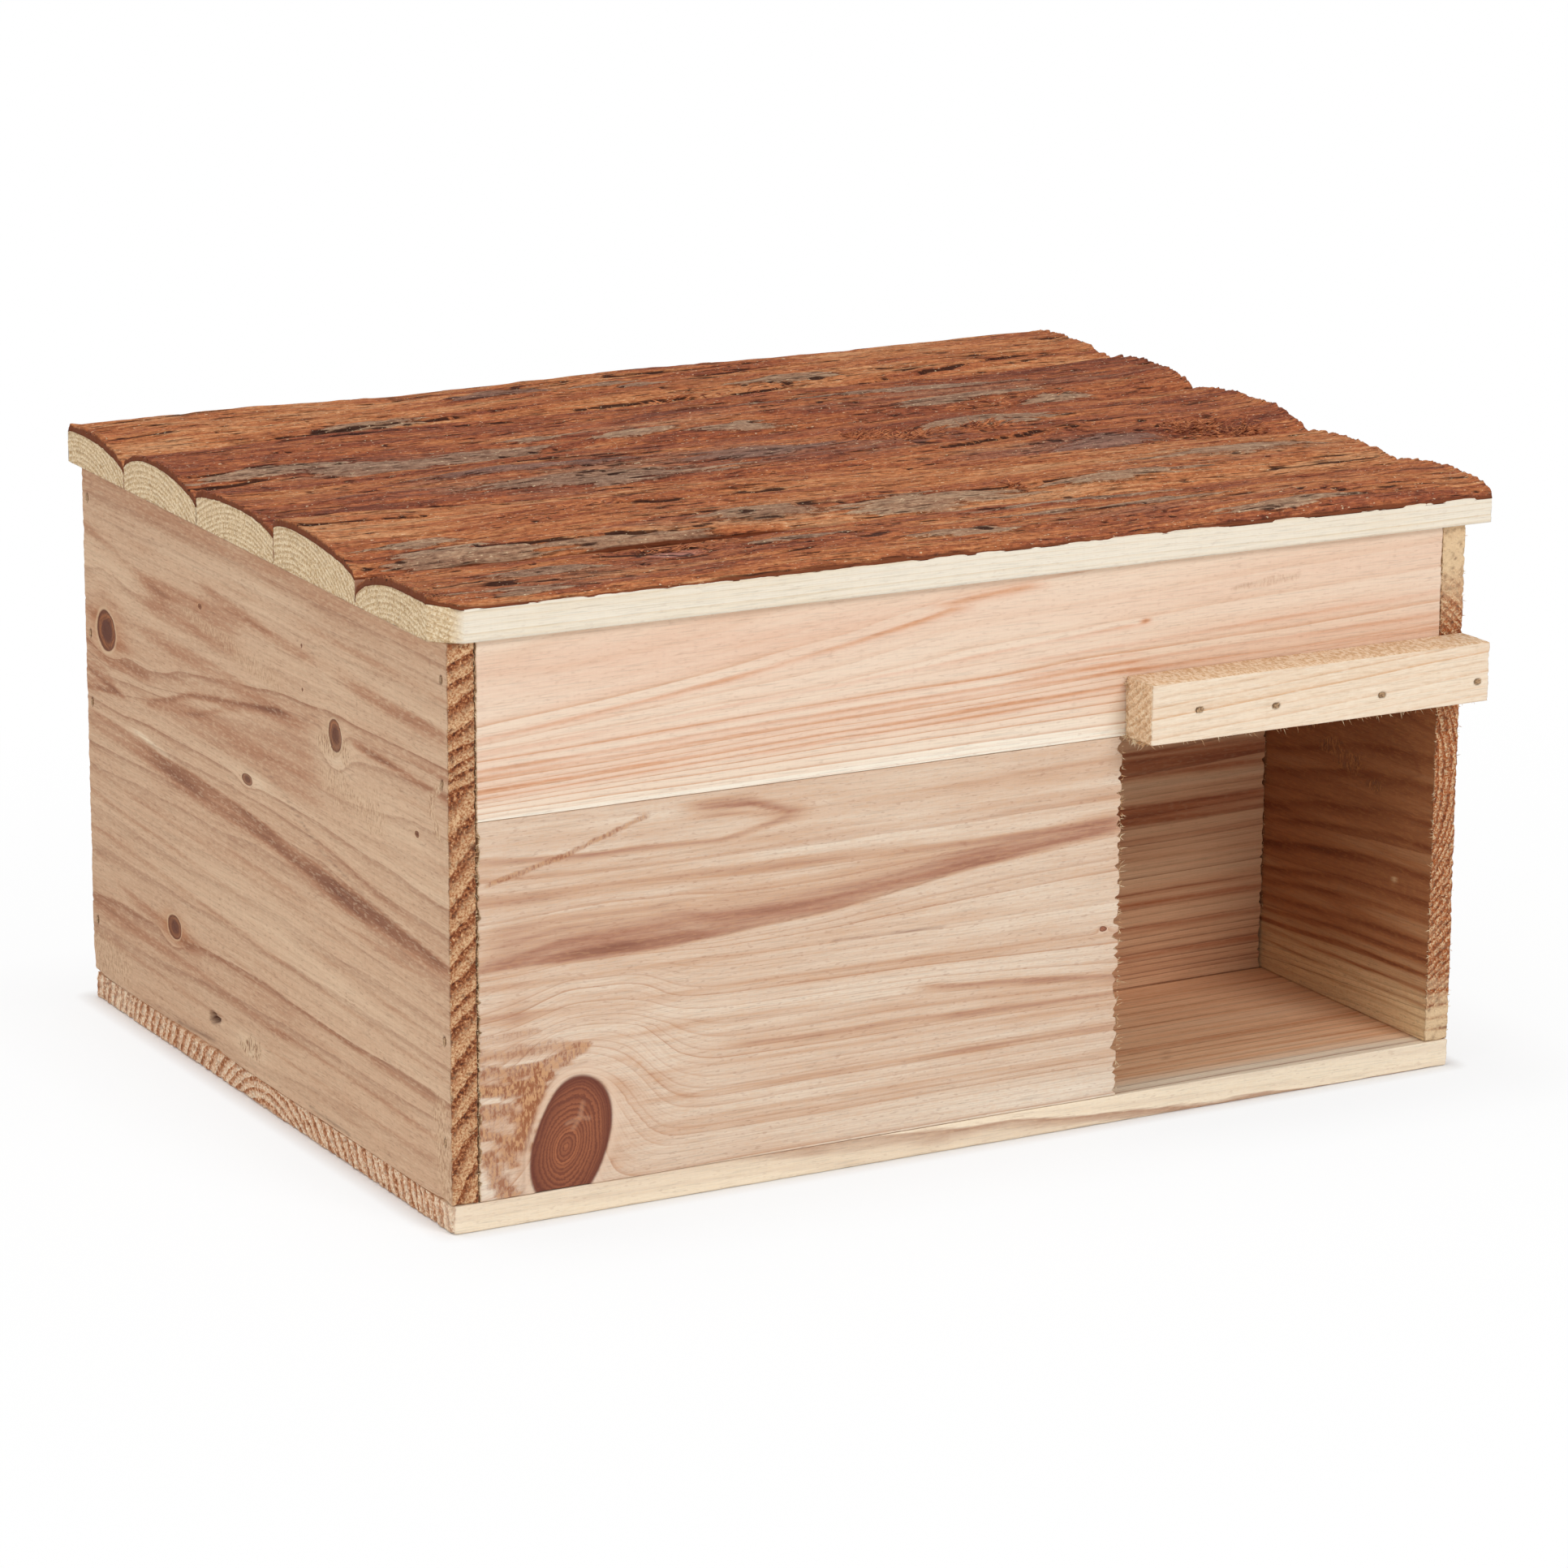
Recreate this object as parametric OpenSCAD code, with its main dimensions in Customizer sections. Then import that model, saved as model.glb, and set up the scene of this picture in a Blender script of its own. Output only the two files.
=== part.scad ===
// Hedgehog house: a nailed softwood box with a side entrance, an inner partition
// and a hinged roof of five waney-edged slabs that keep their bark.
// Origin: middle of the floor board's underside. +X right, +Y back, +Z up.

/* [Box] */
// Width across the outer faces of the side walls
box_w = 400; // [370:5:440]
// Depth from the face of the front boards to the face of the back boards
box_d = 310; // [295:5:340]
// Thickness of the wall boards
board_t = 10; // [8:0.5:14]
// Thickness of the floor board
floor_t = 10; // [8:0.5:14]
// Height of the side walls at the front, above the floor board
wall_h = 191; // [185:1:220]
// How much higher the side walls stand at the back
roof_rise = 4; // [0:0.5:12]
// How far the floor board stops short of the back
floor_short = 2; // [0:0.5:5]
// Height of the back wall's lower board
back_board_h = 118; // [95:1:135]

/* [Entrance] */
// Width of the entrance, up to the right side wall
entrance_w = 132; // [110:1:150]
// Height of the entrance, also the height of the lower front board
entrance_h = 130; // [110:1:145]

/* [Partition] */
// Clear depth between the front boards and the partition
vestibule_d = 98; // [80:1:115]
// Width of the way round the partition's left end
passage_w = 120; // [100:1:150]
// Air between the partition's top and the roof cleats
partition_air = 6; // [2:1:30]

/* [Lintel] */
// Height of the batten over the entrance
lintel_h = 21.5; // [16:0.5:30]
// How far the batten stands out from the front boards
lintel_t = 17; // [10:0.5:25]
// Distance of the batten's first brad from its left end
lintel_brad_inset = 20; // [10:1:25]

/* [Roof] */
// Overhang beyond the left side wall
over_left = 5; // [2:0.5:15]
// Overhang beyond the right side wall
over_right = 8.5; // [2:0.5:15]
// Overhang beyond the front boards
over_front = 3; // [1:0.5:15]
// Side of the corner cut off the front slab, at the left
corner_cut = 8.7; // [4:0.1:15]
// Widths of the four rear slabs at the left end, from the back
slab_w_left = [52.5, 65.5, 66, 66]; // [45:0.5:70]
// Widths of the four rear slabs at the right end, from the back
slab_w_right = [63, 55, 80, 58]; // [45:0.5:85]
// Gap between neighbouring slabs
slab_gap = 0.4; // [0.2:0.1:2]
// Mean thickness of the bark
bark_t = 3; // [2.4:0.1:4]
// Share by which the bark thickens and thins along a slab
bark_swing = 0.22; // [0:0.01:0.3]
// Height of the bark's plates and depth of its hollows, against the measured ones
bark_relief = 1; // [0:0.1:1.2]
// Sideways wander of the slabs' waney edges
edge_wander = 1.2; // [0:0.1:2.5]
// Rise and fall of the slabs along their length
slab_swell = 0.5; // [0:0.1:1]
// Gap under the closed roof
lid_gap = 0.2; // [0.1:0.1:1]

/* [Roof cleats] */
// Width of the cleats that carry the slabs
cleat_w = 20; // [14:1:30]
// Thickness of the cleats
cleat_t = 12; // [8:1:18]
// Gap between a cleat and the side wall that it locates against
cleat_side_gap = 3; // [1:0.5:6]
// Gap between a cleat's ends and the front and back boards
cleat_end_gap = 2; // [1:0.5:6]
// How deep the cleat brads bite into the slabs
cleat_bite = 7; // [4:0.5:8]

/* [Hinges] */
// Distance of each hinge's middle from the side wall's outer face
hinge_inset = 70; // [40:5:120]
// Length of a hinge along its pin
hinge_len = 30; // [24:1:40]
// Height of a leaf from the pin's axis
leaf_h = 9.5; // [8:0.1:10]
// Thickness of a leaf
leaf_t = 1; // [0.8:0.1:1.2]
// Outer radius of the knuckles
knuckle_r = 2.2; // [2:0.1:2.4]
// Radius of the pin
pin_r = 1; // [0.8:0.1:1.3]
// Running clearance of the pin in its knuckles
pin_clear = 0.05; // [0.02:0.01:0.1]
// Gap between neighbouring knuckles, and round them
knuckle_gap = 0.3; // [0.2:0.1:0.5]
// How far the peened ends of the pin stand out
pin_head_t = 0.5; // [0.3:0.1:1]
// Radius of the peened ends
pin_head_r = 1.5; // [1.3:0.1:1.8]

/* [Brads and screws] */
// Radius of a brad's shank
brad_r = 0.6; // [0.5:0.1:0.8]
// Long side of a brad's oblong head
brad_head_l = 2.2; // [1.8:0.1:3]
// Short side of a brad's head
brad_head_w = 1.5; // [1.3:0.1:2]
// Thickness of a brad's head
brad_head_t = 0.8; // [0.5:0.1:1.2]
// Length of the brads in the box
brad_len = 25; // [20:1:28]
// Clearance round a brad
brad_clear = 0.03; // [0.02:0.01:0.1]
// Height of the lowest brad in each wall board above the board's foot
brad_foot = 21; // [15:1:30]
// Distance between the two brads of the lower front board
brad_step = 35; // [25:1:60]
// Least distance from a brad to the board's nearest long edge
brad_edge = 13; // [10:1:18]
// Radius of a hinge screw's shank
screw_r = 1.1; // [0.9:0.1:1.3]
// Radius of a hinge screw's countersunk head
screw_head_r = 2; // [1.8:0.1:2.2]
// Depth of a hinge screw's countersunk head
screw_head_t = 0.8; // [0.6:0.1:0.8]
// Length of a hinge screw
screw_len = 8.5; // [6:0.5:8.5]
// Distance of a hinge's screws from its middle, as a share of its length
screw_share = 0.3; // [0.25:0.01:0.34]

/* [Hidden] */
// Each slab's wood at its left end: height of the rear edge, height of the crest,
// place of the crest as a share of the width from the rear, height of the front edge
slab_left = [
    [11.3, 12.4, 0.27, 5.6],
    [7.5, 13.6, 0.38, 6.2],
    [9.6, 13.2, 0.56, 8.8],
    [12.5, 15.7, 0.27, 8.2],
    [2.5, 12.9, 0.57, 11.1]
];
// The same at each slab's right end
slab_right = [
    [11.5, 15, 0.44, 10.5],
    [11.5, 15.6, 0.46, 10.5],
    [10.5, 14.5, 0.5, 7],
    [8.5, 11.8, 0.4, 8.5],
    [9, 13.4, 0.7, 8.8]
];
// Raised plates and sunken places of the bark, slab by slab from the back: x from the middle,
// distance from the rear edge, half length, half width, rise
bark_places = [
    [-105, 46, 24, 7, 0.9], [-45, 25, 22, 8, 0.8], [74, 44, 26, 7, 0.9], [-20, 50, 46, 6, -1.2],
    [-170, 30, 26, 12, 0.6], [140, 20, 30, 10, 0.7],
    [36, 87, 48, 7, -1], [100, 95, 60, 6, 0.7], [-174, 108, 26, 7, 0.9], [-45, 105, 36, 7, 0.8],
    [114, 105, 34, 7, 1], [172, 112, 24, 6, -1.2],
    [-96, 149, 36, 8, 1], [-110, 160, 50, 5, -1.1], [-76, 171, 34, 8, 0.9], [52, 153, 18, 13, -1.2],
    [97, 150, 26, 9, 1.1], [173, 187, 22, 13, -1.2], [127, 189, 18, 8, 0.9],
    [-57, 217, 42, 6, -1.5], [-120, 219, 40, 10, 0.6], [-164, 246, 32, 6, 1], [-46, 241, 22, 6, 1],
    [18, 245, 36, 7, 1], [95, 244, 28, 6, 0.8], [158, 226, 34, 7, 0.9],
    [-103, 283, 18, 9, -1], [-157, 291, 28, 6, 0.8], [-54, 286, 22, 6, 0.6], [0, 300, 26, 6, 0.8],
    [61, 273, 36, 6, 0.7], [122, 306, 30, 6, 0.7], [160, 281, 34, 9, -0.7]
];
slab_count = len(slab_left);
stations = 25;
profile_steps = 14;
round_fn = 32;
// How far a cut runs past the face that it starts from
cut_over = 1;
// Waves along a slab: turns over its length, and turns by which each next slab starts further on
edge_turns = [1.6, 0.29];
swell_turns = [1.7, 0.23];
bark_turns = [2.3, 0.41];
// Degrees by which the bark's wave turns for each millimetre across
bark_skew = 2;
// Shape of the crown: 0.5 is an ellipse, 1 a parabola
crown_power = 0.65;
// The bark never gets thinner than this
bark_least = 0.6;

inner_w = box_w - 2 * board_t;
front_y = -box_d / 2;
back_y = box_d / 2;
seam_z = floor_t + entrance_h;
back_seam_z = floor_t + back_board_h;
entrance_x = box_w / 2 - board_t - entrance_w;
partition_y = front_y + board_t + vestibule_d;
partition_x = -inner_w / 2 + passage_w;
lintel_len = entrance_w + board_t;

slope = atan(roof_rise / box_d);
pin_off = knuckle_r + knuckle_gap;
pin_y = back_y + pin_off;
pin_z = floor_t + wall_h + (pin_y - front_y) * tan(slope) + lid_gap / 2 / cos(slope);
roof_len = over_left + box_w + over_right;
roof_d = (box_d + over_front) / cos(slope);
roof_x = -box_w / 2 - over_left;
cleat_x = inner_w / 2 - cleat_side_gap - cleat_w / 2;
cleat_len = (box_d - 2 * board_t) / cos(slope) - 2 * cleat_end_gap;
cleat_rear = pin_off + board_t + cleat_end_gap;
hinge_x = box_w / 2 - hinge_inset;
knuckle_len = (hinge_len - 2 * knuckle_gap) / 3;
leaf_foot = knuckle_r + knuckle_gap;
screw_z = (leaf_foot + leaf_h) / 2;
screw_x = hinge_len * screw_share;
partition_top = roof_line(partition_y, -lid_gap / 2) - cleat_t - partition_air;

// Colours, as the wood and the metal show them
sapwood = "#ecd3a8";
pinkwood = "#ddb596";
heartwood = "#b98a62";
barkbrown = "#9a4f2c";
steel = "#a9a79e";

function lerp(a, b, u) = a + (b - a) * u;

// Height of the roof's tilted plane at depth y, with an offset square to the plane
function roof_line(y, offset) = pin_z + (y - pin_y) * tan(slope) + offset / cos(slope);

// Sum of the first n entries of a list
function sum_to(list, n) = n == 0 ? 0 : list[n - 1] + sum_to(list, n - 1);

// Where the stations lie along the roof's length: both ends of the cut corner, then even steps
cut_u = corner_cut / roof_len;
station_u = concat([0], [for (k = [0:stations - 1]) lerp(cut_u, 1, k / (stations - 1))]);

// Distance of slab edge k from the roof's rear edge. Edge 0 is the rear, the last one the front.
function edge_at(k, u) =
    k == 0 ? 0
    : k == slab_count ? roof_d
    : lerp(sum_to(slab_w_left, k), sum_to(slab_w_right, k), u)
        + edge_wander * sin(360 * (edge_turns[0] * u + edge_turns[1] * k)) * sin(180 * u);

// The same edge with the gap to its neighbour and the cut corner taken off
function rear_edge(i, u) = edge_at(i, u) + (i == 0 ? 0 : slab_gap / 2);
function front_edge(i, u) =
    i == slab_count - 1
    ? roof_d - max(0, corner_cut - u * roof_len)
    : edge_at(i + 1, u) - slab_gap / 2;

// A slab's top is two arcs that meet at its crest, like the outside of a log
function arc(q) = pow(max(0, 1 - q * q), crown_power);
function crown(t, rear, crest, at, front) =
    t < at
    ? rear + (crest - rear) * arc((at - t) / at)
    : front + (crest - front) * arc((t - at) / (1 - at));

// Height of slab i's wood at share u of its length and distance d from the roof's rear edge
function wood_h(i, u, d) =
    let (
        e0 = edge_at(i, u),
        e1 = edge_at(i + 1, u),
        t = min(1, max(0, (d - e0) / (e1 - e0))),
        p = lerp(slab_left[i], slab_right[i], u)
    )
    crown(t, p[0], p[1], p[2], p[3])
        + slab_swell * sin(360 * (swell_turns[0] * u + swell_turns[1] * i)) * sin(180 * t);

// Rise of the bark's plates at x and distance d: each is a flat-topped hump, 1 - q^4
function hump(q2) = max(0, 1 - q2 * q2);
function plates(x, d, k = 0) =
    k == len(bark_places) ? 0
    : let (p = bark_places[k])
        p[4] * hump(pow((x - p[0]) / p[2], 2) + pow((d - p[1]) / p[3], 2)) + plates(x, d, k + 1);

// Thickness of the bark at share u of slab i and distance d from the rear edge
function bark_h(i, u, d) =
    max(
        bark_least,
        bark_t * (1 + bark_swing * sin(360 * (bark_turns[0] * u + bark_turns[1] * i) + bark_skew * d))
            + bark_relief * plates(roof_x + u * roof_len, d)
    );

// Points across slab i at every station, closer together towards its edges, at a given height
function across(j) = (1 - cos(180 * j / profile_steps)) / 2;
function slab_grid(i, part) = [
    for (u = station_u, j = [0:profile_steps])
        let (
            d = lerp(rear_edge(i, u), front_edge(i, u), across(j)),
            wood = wood_h(i, u, d),
            h = part == "foot" ? 0 : part == "wood" ? wood : wood + bark_h(i, u, d)
        )
        [roof_x + u * roof_len, -pin_off - d, lid_gap / 2 + h]
];

row = profile_steps + 1;
rows = stations + 1;
// Triangles of one grid, numbered from first; up is true where they face upwards
function sheet(first, up) = [
    for (s = [0:rows - 2], j = [0:profile_steps - 1])
        let (
            a = first + s * row + j,
            b = a + 1,
            c = a + row,
            d = c + 1
        )
        each up ? [[a, c, d], [a, d, b]] : [[a, d, c], [a, b, d]]
];
// The walls that close the space between two grids
function rim(low, high) = concat(
    [for (s = [0:rows - 2]) [low + s * row, low + (s + 1) * row, high + (s + 1) * row, high + s * row]],
    [for (s = [0:rows - 2])
        let (e = s * row + profile_steps) [low + e, high + e, high + e + row, low + e + row]],
    [for (j = [0:profile_steps - 1]) [low + j, high + j, high + j + 1, low + j + 1]],
    [for (j = [0:profile_steps - 1])
        let (e = (rows - 1) * row + j) [low + e, low + e + 1, high + e + 1, high + e]]
);

// Solid between two grids of the same slab
module layer(i, low, high) {
    under = slab_grid(i, low);
    over = slab_grid(i, high);
    polyhedron(
        points = concat(under, over),
        faces = concat(sheet(0, false), sheet(len(under), true), rim(0, len(under))),
        convexity = 6
    );
}

// Moves from the roof's own frame, whose origin is the hinge axis, to the house
module in_roof() {
    translate([0, pin_y, pin_z]) rotate([slope, 0, 0]) children();
}

// A brad with an oblong head: the head's outer face at the origin, pointing down, grown by gap
module brad(length, gap = 0) {
    translate([0, 0, -length - gap])
        cylinder(r = brad_r + gap, h = length + 2 * gap, $fn = round_fn);
    translate([-brad_head_l / 2 - gap, -brad_head_w / 2 - gap, -brad_head_t - gap])
        cube([brad_head_l + 2 * gap, brad_head_w + 2 * gap, brad_head_t + 2 * gap]);
}

module brad_hole(length) {
    brad(length, brad_clear);
}

// Heights of the brads that hold the front and back boards
front_low_z = [floor_t + brad_foot, floor_t + brad_foot + brad_step];
front_high_z = [seam_z + brad_edge, floor_t + wall_h - brad_edge];
back_low_z = [floor_t + brad_foot, back_seam_z - brad_edge];
back_high_z = [back_seam_z + brad_edge, roof_line(back_y, 0) - brad_edge];

// Places of brads through a side wall, side = -1 left or 1 right
module through_side(side, y, heights) {
    for (z = heights)
        translate([side * box_w / 2, y, z]) rotate([0, side * 90, 0]) children();
}

module at_front_brads(side) {
    through_side(side, front_y + board_t / 2, side < 0 ? concat(front_low_z, front_high_z) : front_high_z)
        children();
}

module at_back_brads(side) {
    through_side(side, back_y - board_t / 2, concat(back_low_z, back_high_z)) children();
}

module at_partition_brads() {
    through_side(1, partition_y + board_t / 2, spread(floor_t, partition_top, 3)) children();
}

// The batten's brads aren't in line: places as shares of the span and of the batten's height
lintel_shares = [0, 0.27, 0.65, 1];
lintel_lifts = [0.5, 0.4, 0.34, 0.35];
module at_lintel_brads() {
    span = lintel_len - lintel_brad_inset - board_t / 2;
    for (k = [0:len(lintel_shares) - 1])
        translate([
            entrance_x + lintel_brad_inset + lintel_shares[k] * span,
            front_y - lintel_t,
            seam_z + lintel_lifts[k] * lintel_h
        ])
            rotate([90, 0, 0]) children();
}

// Brads from below: rows under the side walls, then under the boards that stand across
function spread(a, b, n) = [for (k = [0:n - 1]) lerp(a, b, (k + 0.5) / n)];
floor_brad_places = concat(
    [for (side = [-1, 1], y = spread(front_y, back_y, 4)) [side * (box_w - board_t) / 2, y]],
    [for (x = spread(-inner_w / 2, entrance_x, 3)) [x, front_y + board_t / 2]],
    [for (x = spread(-inner_w / 2, inner_w / 2, 3)) [x, back_y - board_t / 2]],
    [for (x = spread(partition_x, inner_w / 2, 3)) [x, partition_y + board_t / 2]]
);
module at_floor_brads() {
    for (p = floor_brad_places) translate([p[0], p[1], 0]) rotate([180, 0, 0]) children();
}

// Two brads through each cleat into each slab, heads below, at these shares of the slab's width
cleat_shares = [0.35, 0.7];
module at_cleat_brads(i, side) {
    u = (side * cleat_x - roof_x) / roof_len;
    for (t = cleat_shares)
        translate([
            side * cleat_x,
            -pin_off - lerp(edge_at(i, u), min(edge_at(i + 1, u), cleat_rear - pin_off + cleat_len), t),
            lid_gap / 2 - cleat_t
        ])
            rotate([180, 0, 0]) children();
}
cleat_brad_len = cleat_t + cleat_bite;

// A countersunk screw and its hole: the head's flat face at the origin, pointing down
module screw(gap = 0) {
    translate([0, 0, -screw_len - gap])
        cylinder(r = screw_r + gap, h = screw_len + 2 * gap, $fn = round_fn);
    translate([0, 0, -screw_head_t])
        cylinder(r1 = screw_r + gap, r2 = screw_head_r + gap, h = screw_head_t, $fn = round_fn);
}

module screw_hole() {
    screw(brad_clear);
}

// Screw places of one hinge in its own frame, up = 1 for the roof's leaf, -1 for the wall's
module at_screws(up) {
    for (x = [-screw_x, screw_x])
        translate([x, leaf_t - pin_off, up * screw_z]) rotate([-90, 0, 0]) children();
}

module at_hinge(side) {
    translate([side * hinge_x, 0, 0]) children();
}

module at_wall_hinge(side) {
    translate([0, pin_y, pin_z]) at_hinge(side) children();
}

// A tube along the pin that starts at x
module knuckle(x) {
    translate([x, 0, 0]) rotate([0, 90, 0]) cylinder(r = knuckle_r, h = knuckle_len, $fn = round_fn);
}

// One leaf: a plate with screw holes and the knuckles whose starts are listed
module leaf(up, starts) {
    difference() {
        union() {
            translate([-hinge_len / 2, -pin_off, up > 0 ? leaf_foot : -leaf_h])
                cube([hinge_len, leaf_t, leaf_h - leaf_foot]);
            for (x = starts) {
                knuckle(x);
                translate([x, -pin_off, up > 0 ? 0 : -leaf_foot]) cube([knuckle_len, leaf_t, leaf_foot]);
            }
        }
        translate([-hinge_len / 2 - cut_over, 0, 0])
            rotate([0, 90, 0])
                cylinder(r = pin_r + pin_clear, h = hinge_len + 2 * cut_over, $fn = round_fn);
        at_screws(up) screw_hole();
    }
}

module wall_leaf() {
    color(steel) leaf(-1, [-hinge_len / 2, hinge_len / 2 - knuckle_len]);
}

module roof_leaf() {
    color(steel) leaf(1, [-knuckle_len / 2]);
}

// The pin's ends are peened over the outer knuckles
module hinge_pin() {
    color(steel) rotate([0, 90, 0]) {
        translate([0, 0, -hinge_len / 2 - pin_clear])
            cylinder(r = pin_r, h = hinge_len + 2 * pin_clear, $fn = round_fn);
        for (end = [0, 1])
            mirror([0, 0, end])
                translate([0, 0, hinge_len / 2 + pin_clear])
                    cylinder(r1 = pin_head_r, r2 = pin_r, h = pin_head_t, $fn = round_fn);
    }
}

module board(x, y, z, w, d, h) {
    translate([x, y, z]) cube([w, d, h]);
}

module floor_board() {
    color(pinkwood) difference() {
        board(-box_w / 2, front_y, 0, box_w, box_d - floor_short, floor_t);
        at_floor_brads() brad_hole(brad_len);
    }
}

// A side wall's top edge follows the roof
module side_wall(side) {
    x = side < 0 ? -box_w / 2 : box_w / 2 - board_t;
    difference() {
        translate([x, 0, 0])
            rotate([90, 0, 90])
                linear_extrude(height = board_t)
                    polygon([
                        [front_y, floor_t],
                        [back_y, floor_t],
                        [back_y, roof_line(back_y, -lid_gap / 2)],
                        [front_y, roof_line(front_y, -lid_gap / 2)]
                    ]);
        at_front_brads(side) brad_hole(brad_len);
        at_back_brads(side) brad_hole(brad_len);
        at_floor_brads() brad_hole(brad_len);
        if (side > 0) {
            at_partition_brads() brad_hole(brad_len);
            at_lintel_brads() brad_hole(brad_len);
        }
    }
}

module left_side_wall() {
    color(heartwood) side_wall(-1);
}

module right_side_wall() {
    color(heartwood) side_wall(1);
}

module front_upper_board() {
    top = roof_line(front_y, -lid_gap / 2);
    color(pinkwood) difference() {
        board(-inner_w / 2, front_y, seam_z, inner_w, board_t, top - seam_z);
        for (side = [-1, 1]) at_front_brads(side) brad_hole(brad_len);
        at_lintel_brads() brad_hole(brad_len);
    }
}

module front_lower_board() {
    color(pinkwood) difference() {
        board(-inner_w / 2, front_y, floor_t, inner_w - entrance_w, board_t, entrance_h);
        at_front_brads(-1) brad_hole(brad_len);
        at_floor_brads() brad_hole(brad_len);
    }
}

module back_upper_board() {
    top = roof_line(back_y - board_t, -lid_gap / 2);
    color(pinkwood) difference() {
        board(-inner_w / 2, back_y - board_t, back_seam_z, inner_w, board_t, top - back_seam_z);
        for (side = [-1, 1]) {
            at_back_brads(side) brad_hole(brad_len);
            at_wall_hinge(side) at_screws(-1) screw_hole();
        }
    }
}

module back_lower_board() {
    color(pinkwood) difference() {
        board(-inner_w / 2, back_y - board_t, floor_t, inner_w, board_t, back_board_h);
        for (side = [-1, 1]) at_back_brads(side) brad_hole(brad_len);
        at_floor_brads() brad_hole(brad_len);
    }
}

module partition_board() {
    color(heartwood) difference() {
        board(partition_x, partition_y, floor_t, inner_w / 2 - partition_x, board_t, partition_top - floor_t);
        at_partition_brads() brad_hole(brad_len);
        at_floor_brads() brad_hole(brad_len);
    }
}

module lintel_batten() {
    color(sapwood) difference() {
        board(entrance_x, front_y - lintel_t, seam_z, lintel_len, lintel_t, lintel_h);
        at_lintel_brads() brad_hole(brad_len);
    }
}

// The wood of slab i, numbered from the back
module roof_slab(i) {
    color(sapwood) in_roof() difference() {
        layer(i, "foot", "wood");
        for (side = [-1, 1]) {
            at_cleat_brads(i, side) brad_hole(cleat_brad_len);
            if (i == 0) at_hinge(side) at_screws(1) screw_hole();
        }
    }
}

// The bark that is left on slab i
module roof_bark(i) {
    color(barkbrown) in_roof() layer(i, "wood", "bark");
}

module roof_cleat(side) {
    color(pinkwood) in_roof() difference() {
        board(
            side * cleat_x - cleat_w / 2, -cleat_rear - cleat_len, lid_gap / 2 - cleat_t,
            cleat_w, cleat_len, cleat_t
        );
        for (i = [0:slab_count - 1]) at_cleat_brads(i, side) brad_hole(cleat_brad_len);
    }
}

module hinge_wall_screws() {
    color(steel) for (side = [-1, 1]) at_wall_hinge(side) at_screws(-1) screw();
}

module hinge_roof_screws() {
    color(steel) in_roof() for (side = [-1, 1]) at_hinge(side) at_screws(1) screw();
}

module front_brads() {
    color(steel) for (side = [-1, 1]) at_front_brads(side) brad(brad_len);
}

module back_brads() {
    color(steel) for (side = [-1, 1]) at_back_brads(side) brad(brad_len);
}

module floor_brads() {
    color(steel) at_floor_brads() brad(brad_len);
}

module lintel_brads() {
    color(steel) at_lintel_brads() brad(brad_len);
}

module partition_brads() {
    color(steel) at_partition_brads() brad(brad_len);
}

module cleat_brads() {
    color(steel) in_roof()
        for (i = [0:slab_count - 1], side = [-1, 1]) at_cleat_brads(i, side) brad(cleat_brad_len);
}

floor_board();
left_side_wall();
right_side_wall();
front_upper_board();
front_lower_board();
back_upper_board();
back_lower_board();
partition_board();
lintel_batten();
for (i = [0:slab_count - 1]) {
    roof_slab(i);
    roof_bark(i);
}
roof_cleat(-1);  // roof_cleat_left
roof_cleat(1);  // roof_cleat_right
at_wall_hinge(-1) wall_leaf();  // hinge_wall_leaf_left
at_wall_hinge(1) wall_leaf();  // hinge_wall_leaf_right
in_roof() at_hinge(-1) roof_leaf();  // hinge_roof_leaf_left
in_roof() at_hinge(1) roof_leaf();  // hinge_roof_leaf_right
at_wall_hinge(-1) hinge_pin();  // hinge_pin_left
at_wall_hinge(1) hinge_pin();  // hinge_pin_right
hinge_wall_screws();
hinge_roof_screws();
front_brads();
back_brads();
floor_brads();
lintel_brads();
partition_brads();
cleat_brads();
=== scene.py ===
# Garden shelter of soft fir: a box of sawn boards, five roof slabs with the bark on, hinges at the back.
# Everything below is in millimetres until a mesh is made; the CAD frame is in metres.
import math
import bpy
import numpy as np
from mathutils import Matrix, Vector


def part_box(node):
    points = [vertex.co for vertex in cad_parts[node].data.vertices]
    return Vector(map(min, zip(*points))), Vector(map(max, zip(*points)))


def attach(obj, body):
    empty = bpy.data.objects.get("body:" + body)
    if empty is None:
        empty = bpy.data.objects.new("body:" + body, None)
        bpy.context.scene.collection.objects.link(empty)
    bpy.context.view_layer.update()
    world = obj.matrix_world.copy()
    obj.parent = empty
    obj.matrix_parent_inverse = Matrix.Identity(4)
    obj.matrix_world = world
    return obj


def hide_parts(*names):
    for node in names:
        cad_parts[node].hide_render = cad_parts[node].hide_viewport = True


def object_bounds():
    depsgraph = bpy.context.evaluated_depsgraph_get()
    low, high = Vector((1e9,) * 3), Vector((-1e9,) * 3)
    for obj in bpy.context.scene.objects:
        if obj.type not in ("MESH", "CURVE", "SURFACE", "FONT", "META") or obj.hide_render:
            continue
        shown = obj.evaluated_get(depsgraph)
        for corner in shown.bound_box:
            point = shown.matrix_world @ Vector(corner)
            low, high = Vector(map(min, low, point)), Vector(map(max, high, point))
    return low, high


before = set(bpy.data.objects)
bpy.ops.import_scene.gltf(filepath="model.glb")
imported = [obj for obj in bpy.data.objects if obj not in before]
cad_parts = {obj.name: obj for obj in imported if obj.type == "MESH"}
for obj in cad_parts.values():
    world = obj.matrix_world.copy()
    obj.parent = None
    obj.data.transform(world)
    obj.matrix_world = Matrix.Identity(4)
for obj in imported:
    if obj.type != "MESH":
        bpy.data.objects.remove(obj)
cadBox = [list(corner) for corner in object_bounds()]
scene = bpy.context.scene
scene.view_settings.view_transform = "Standard"
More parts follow.
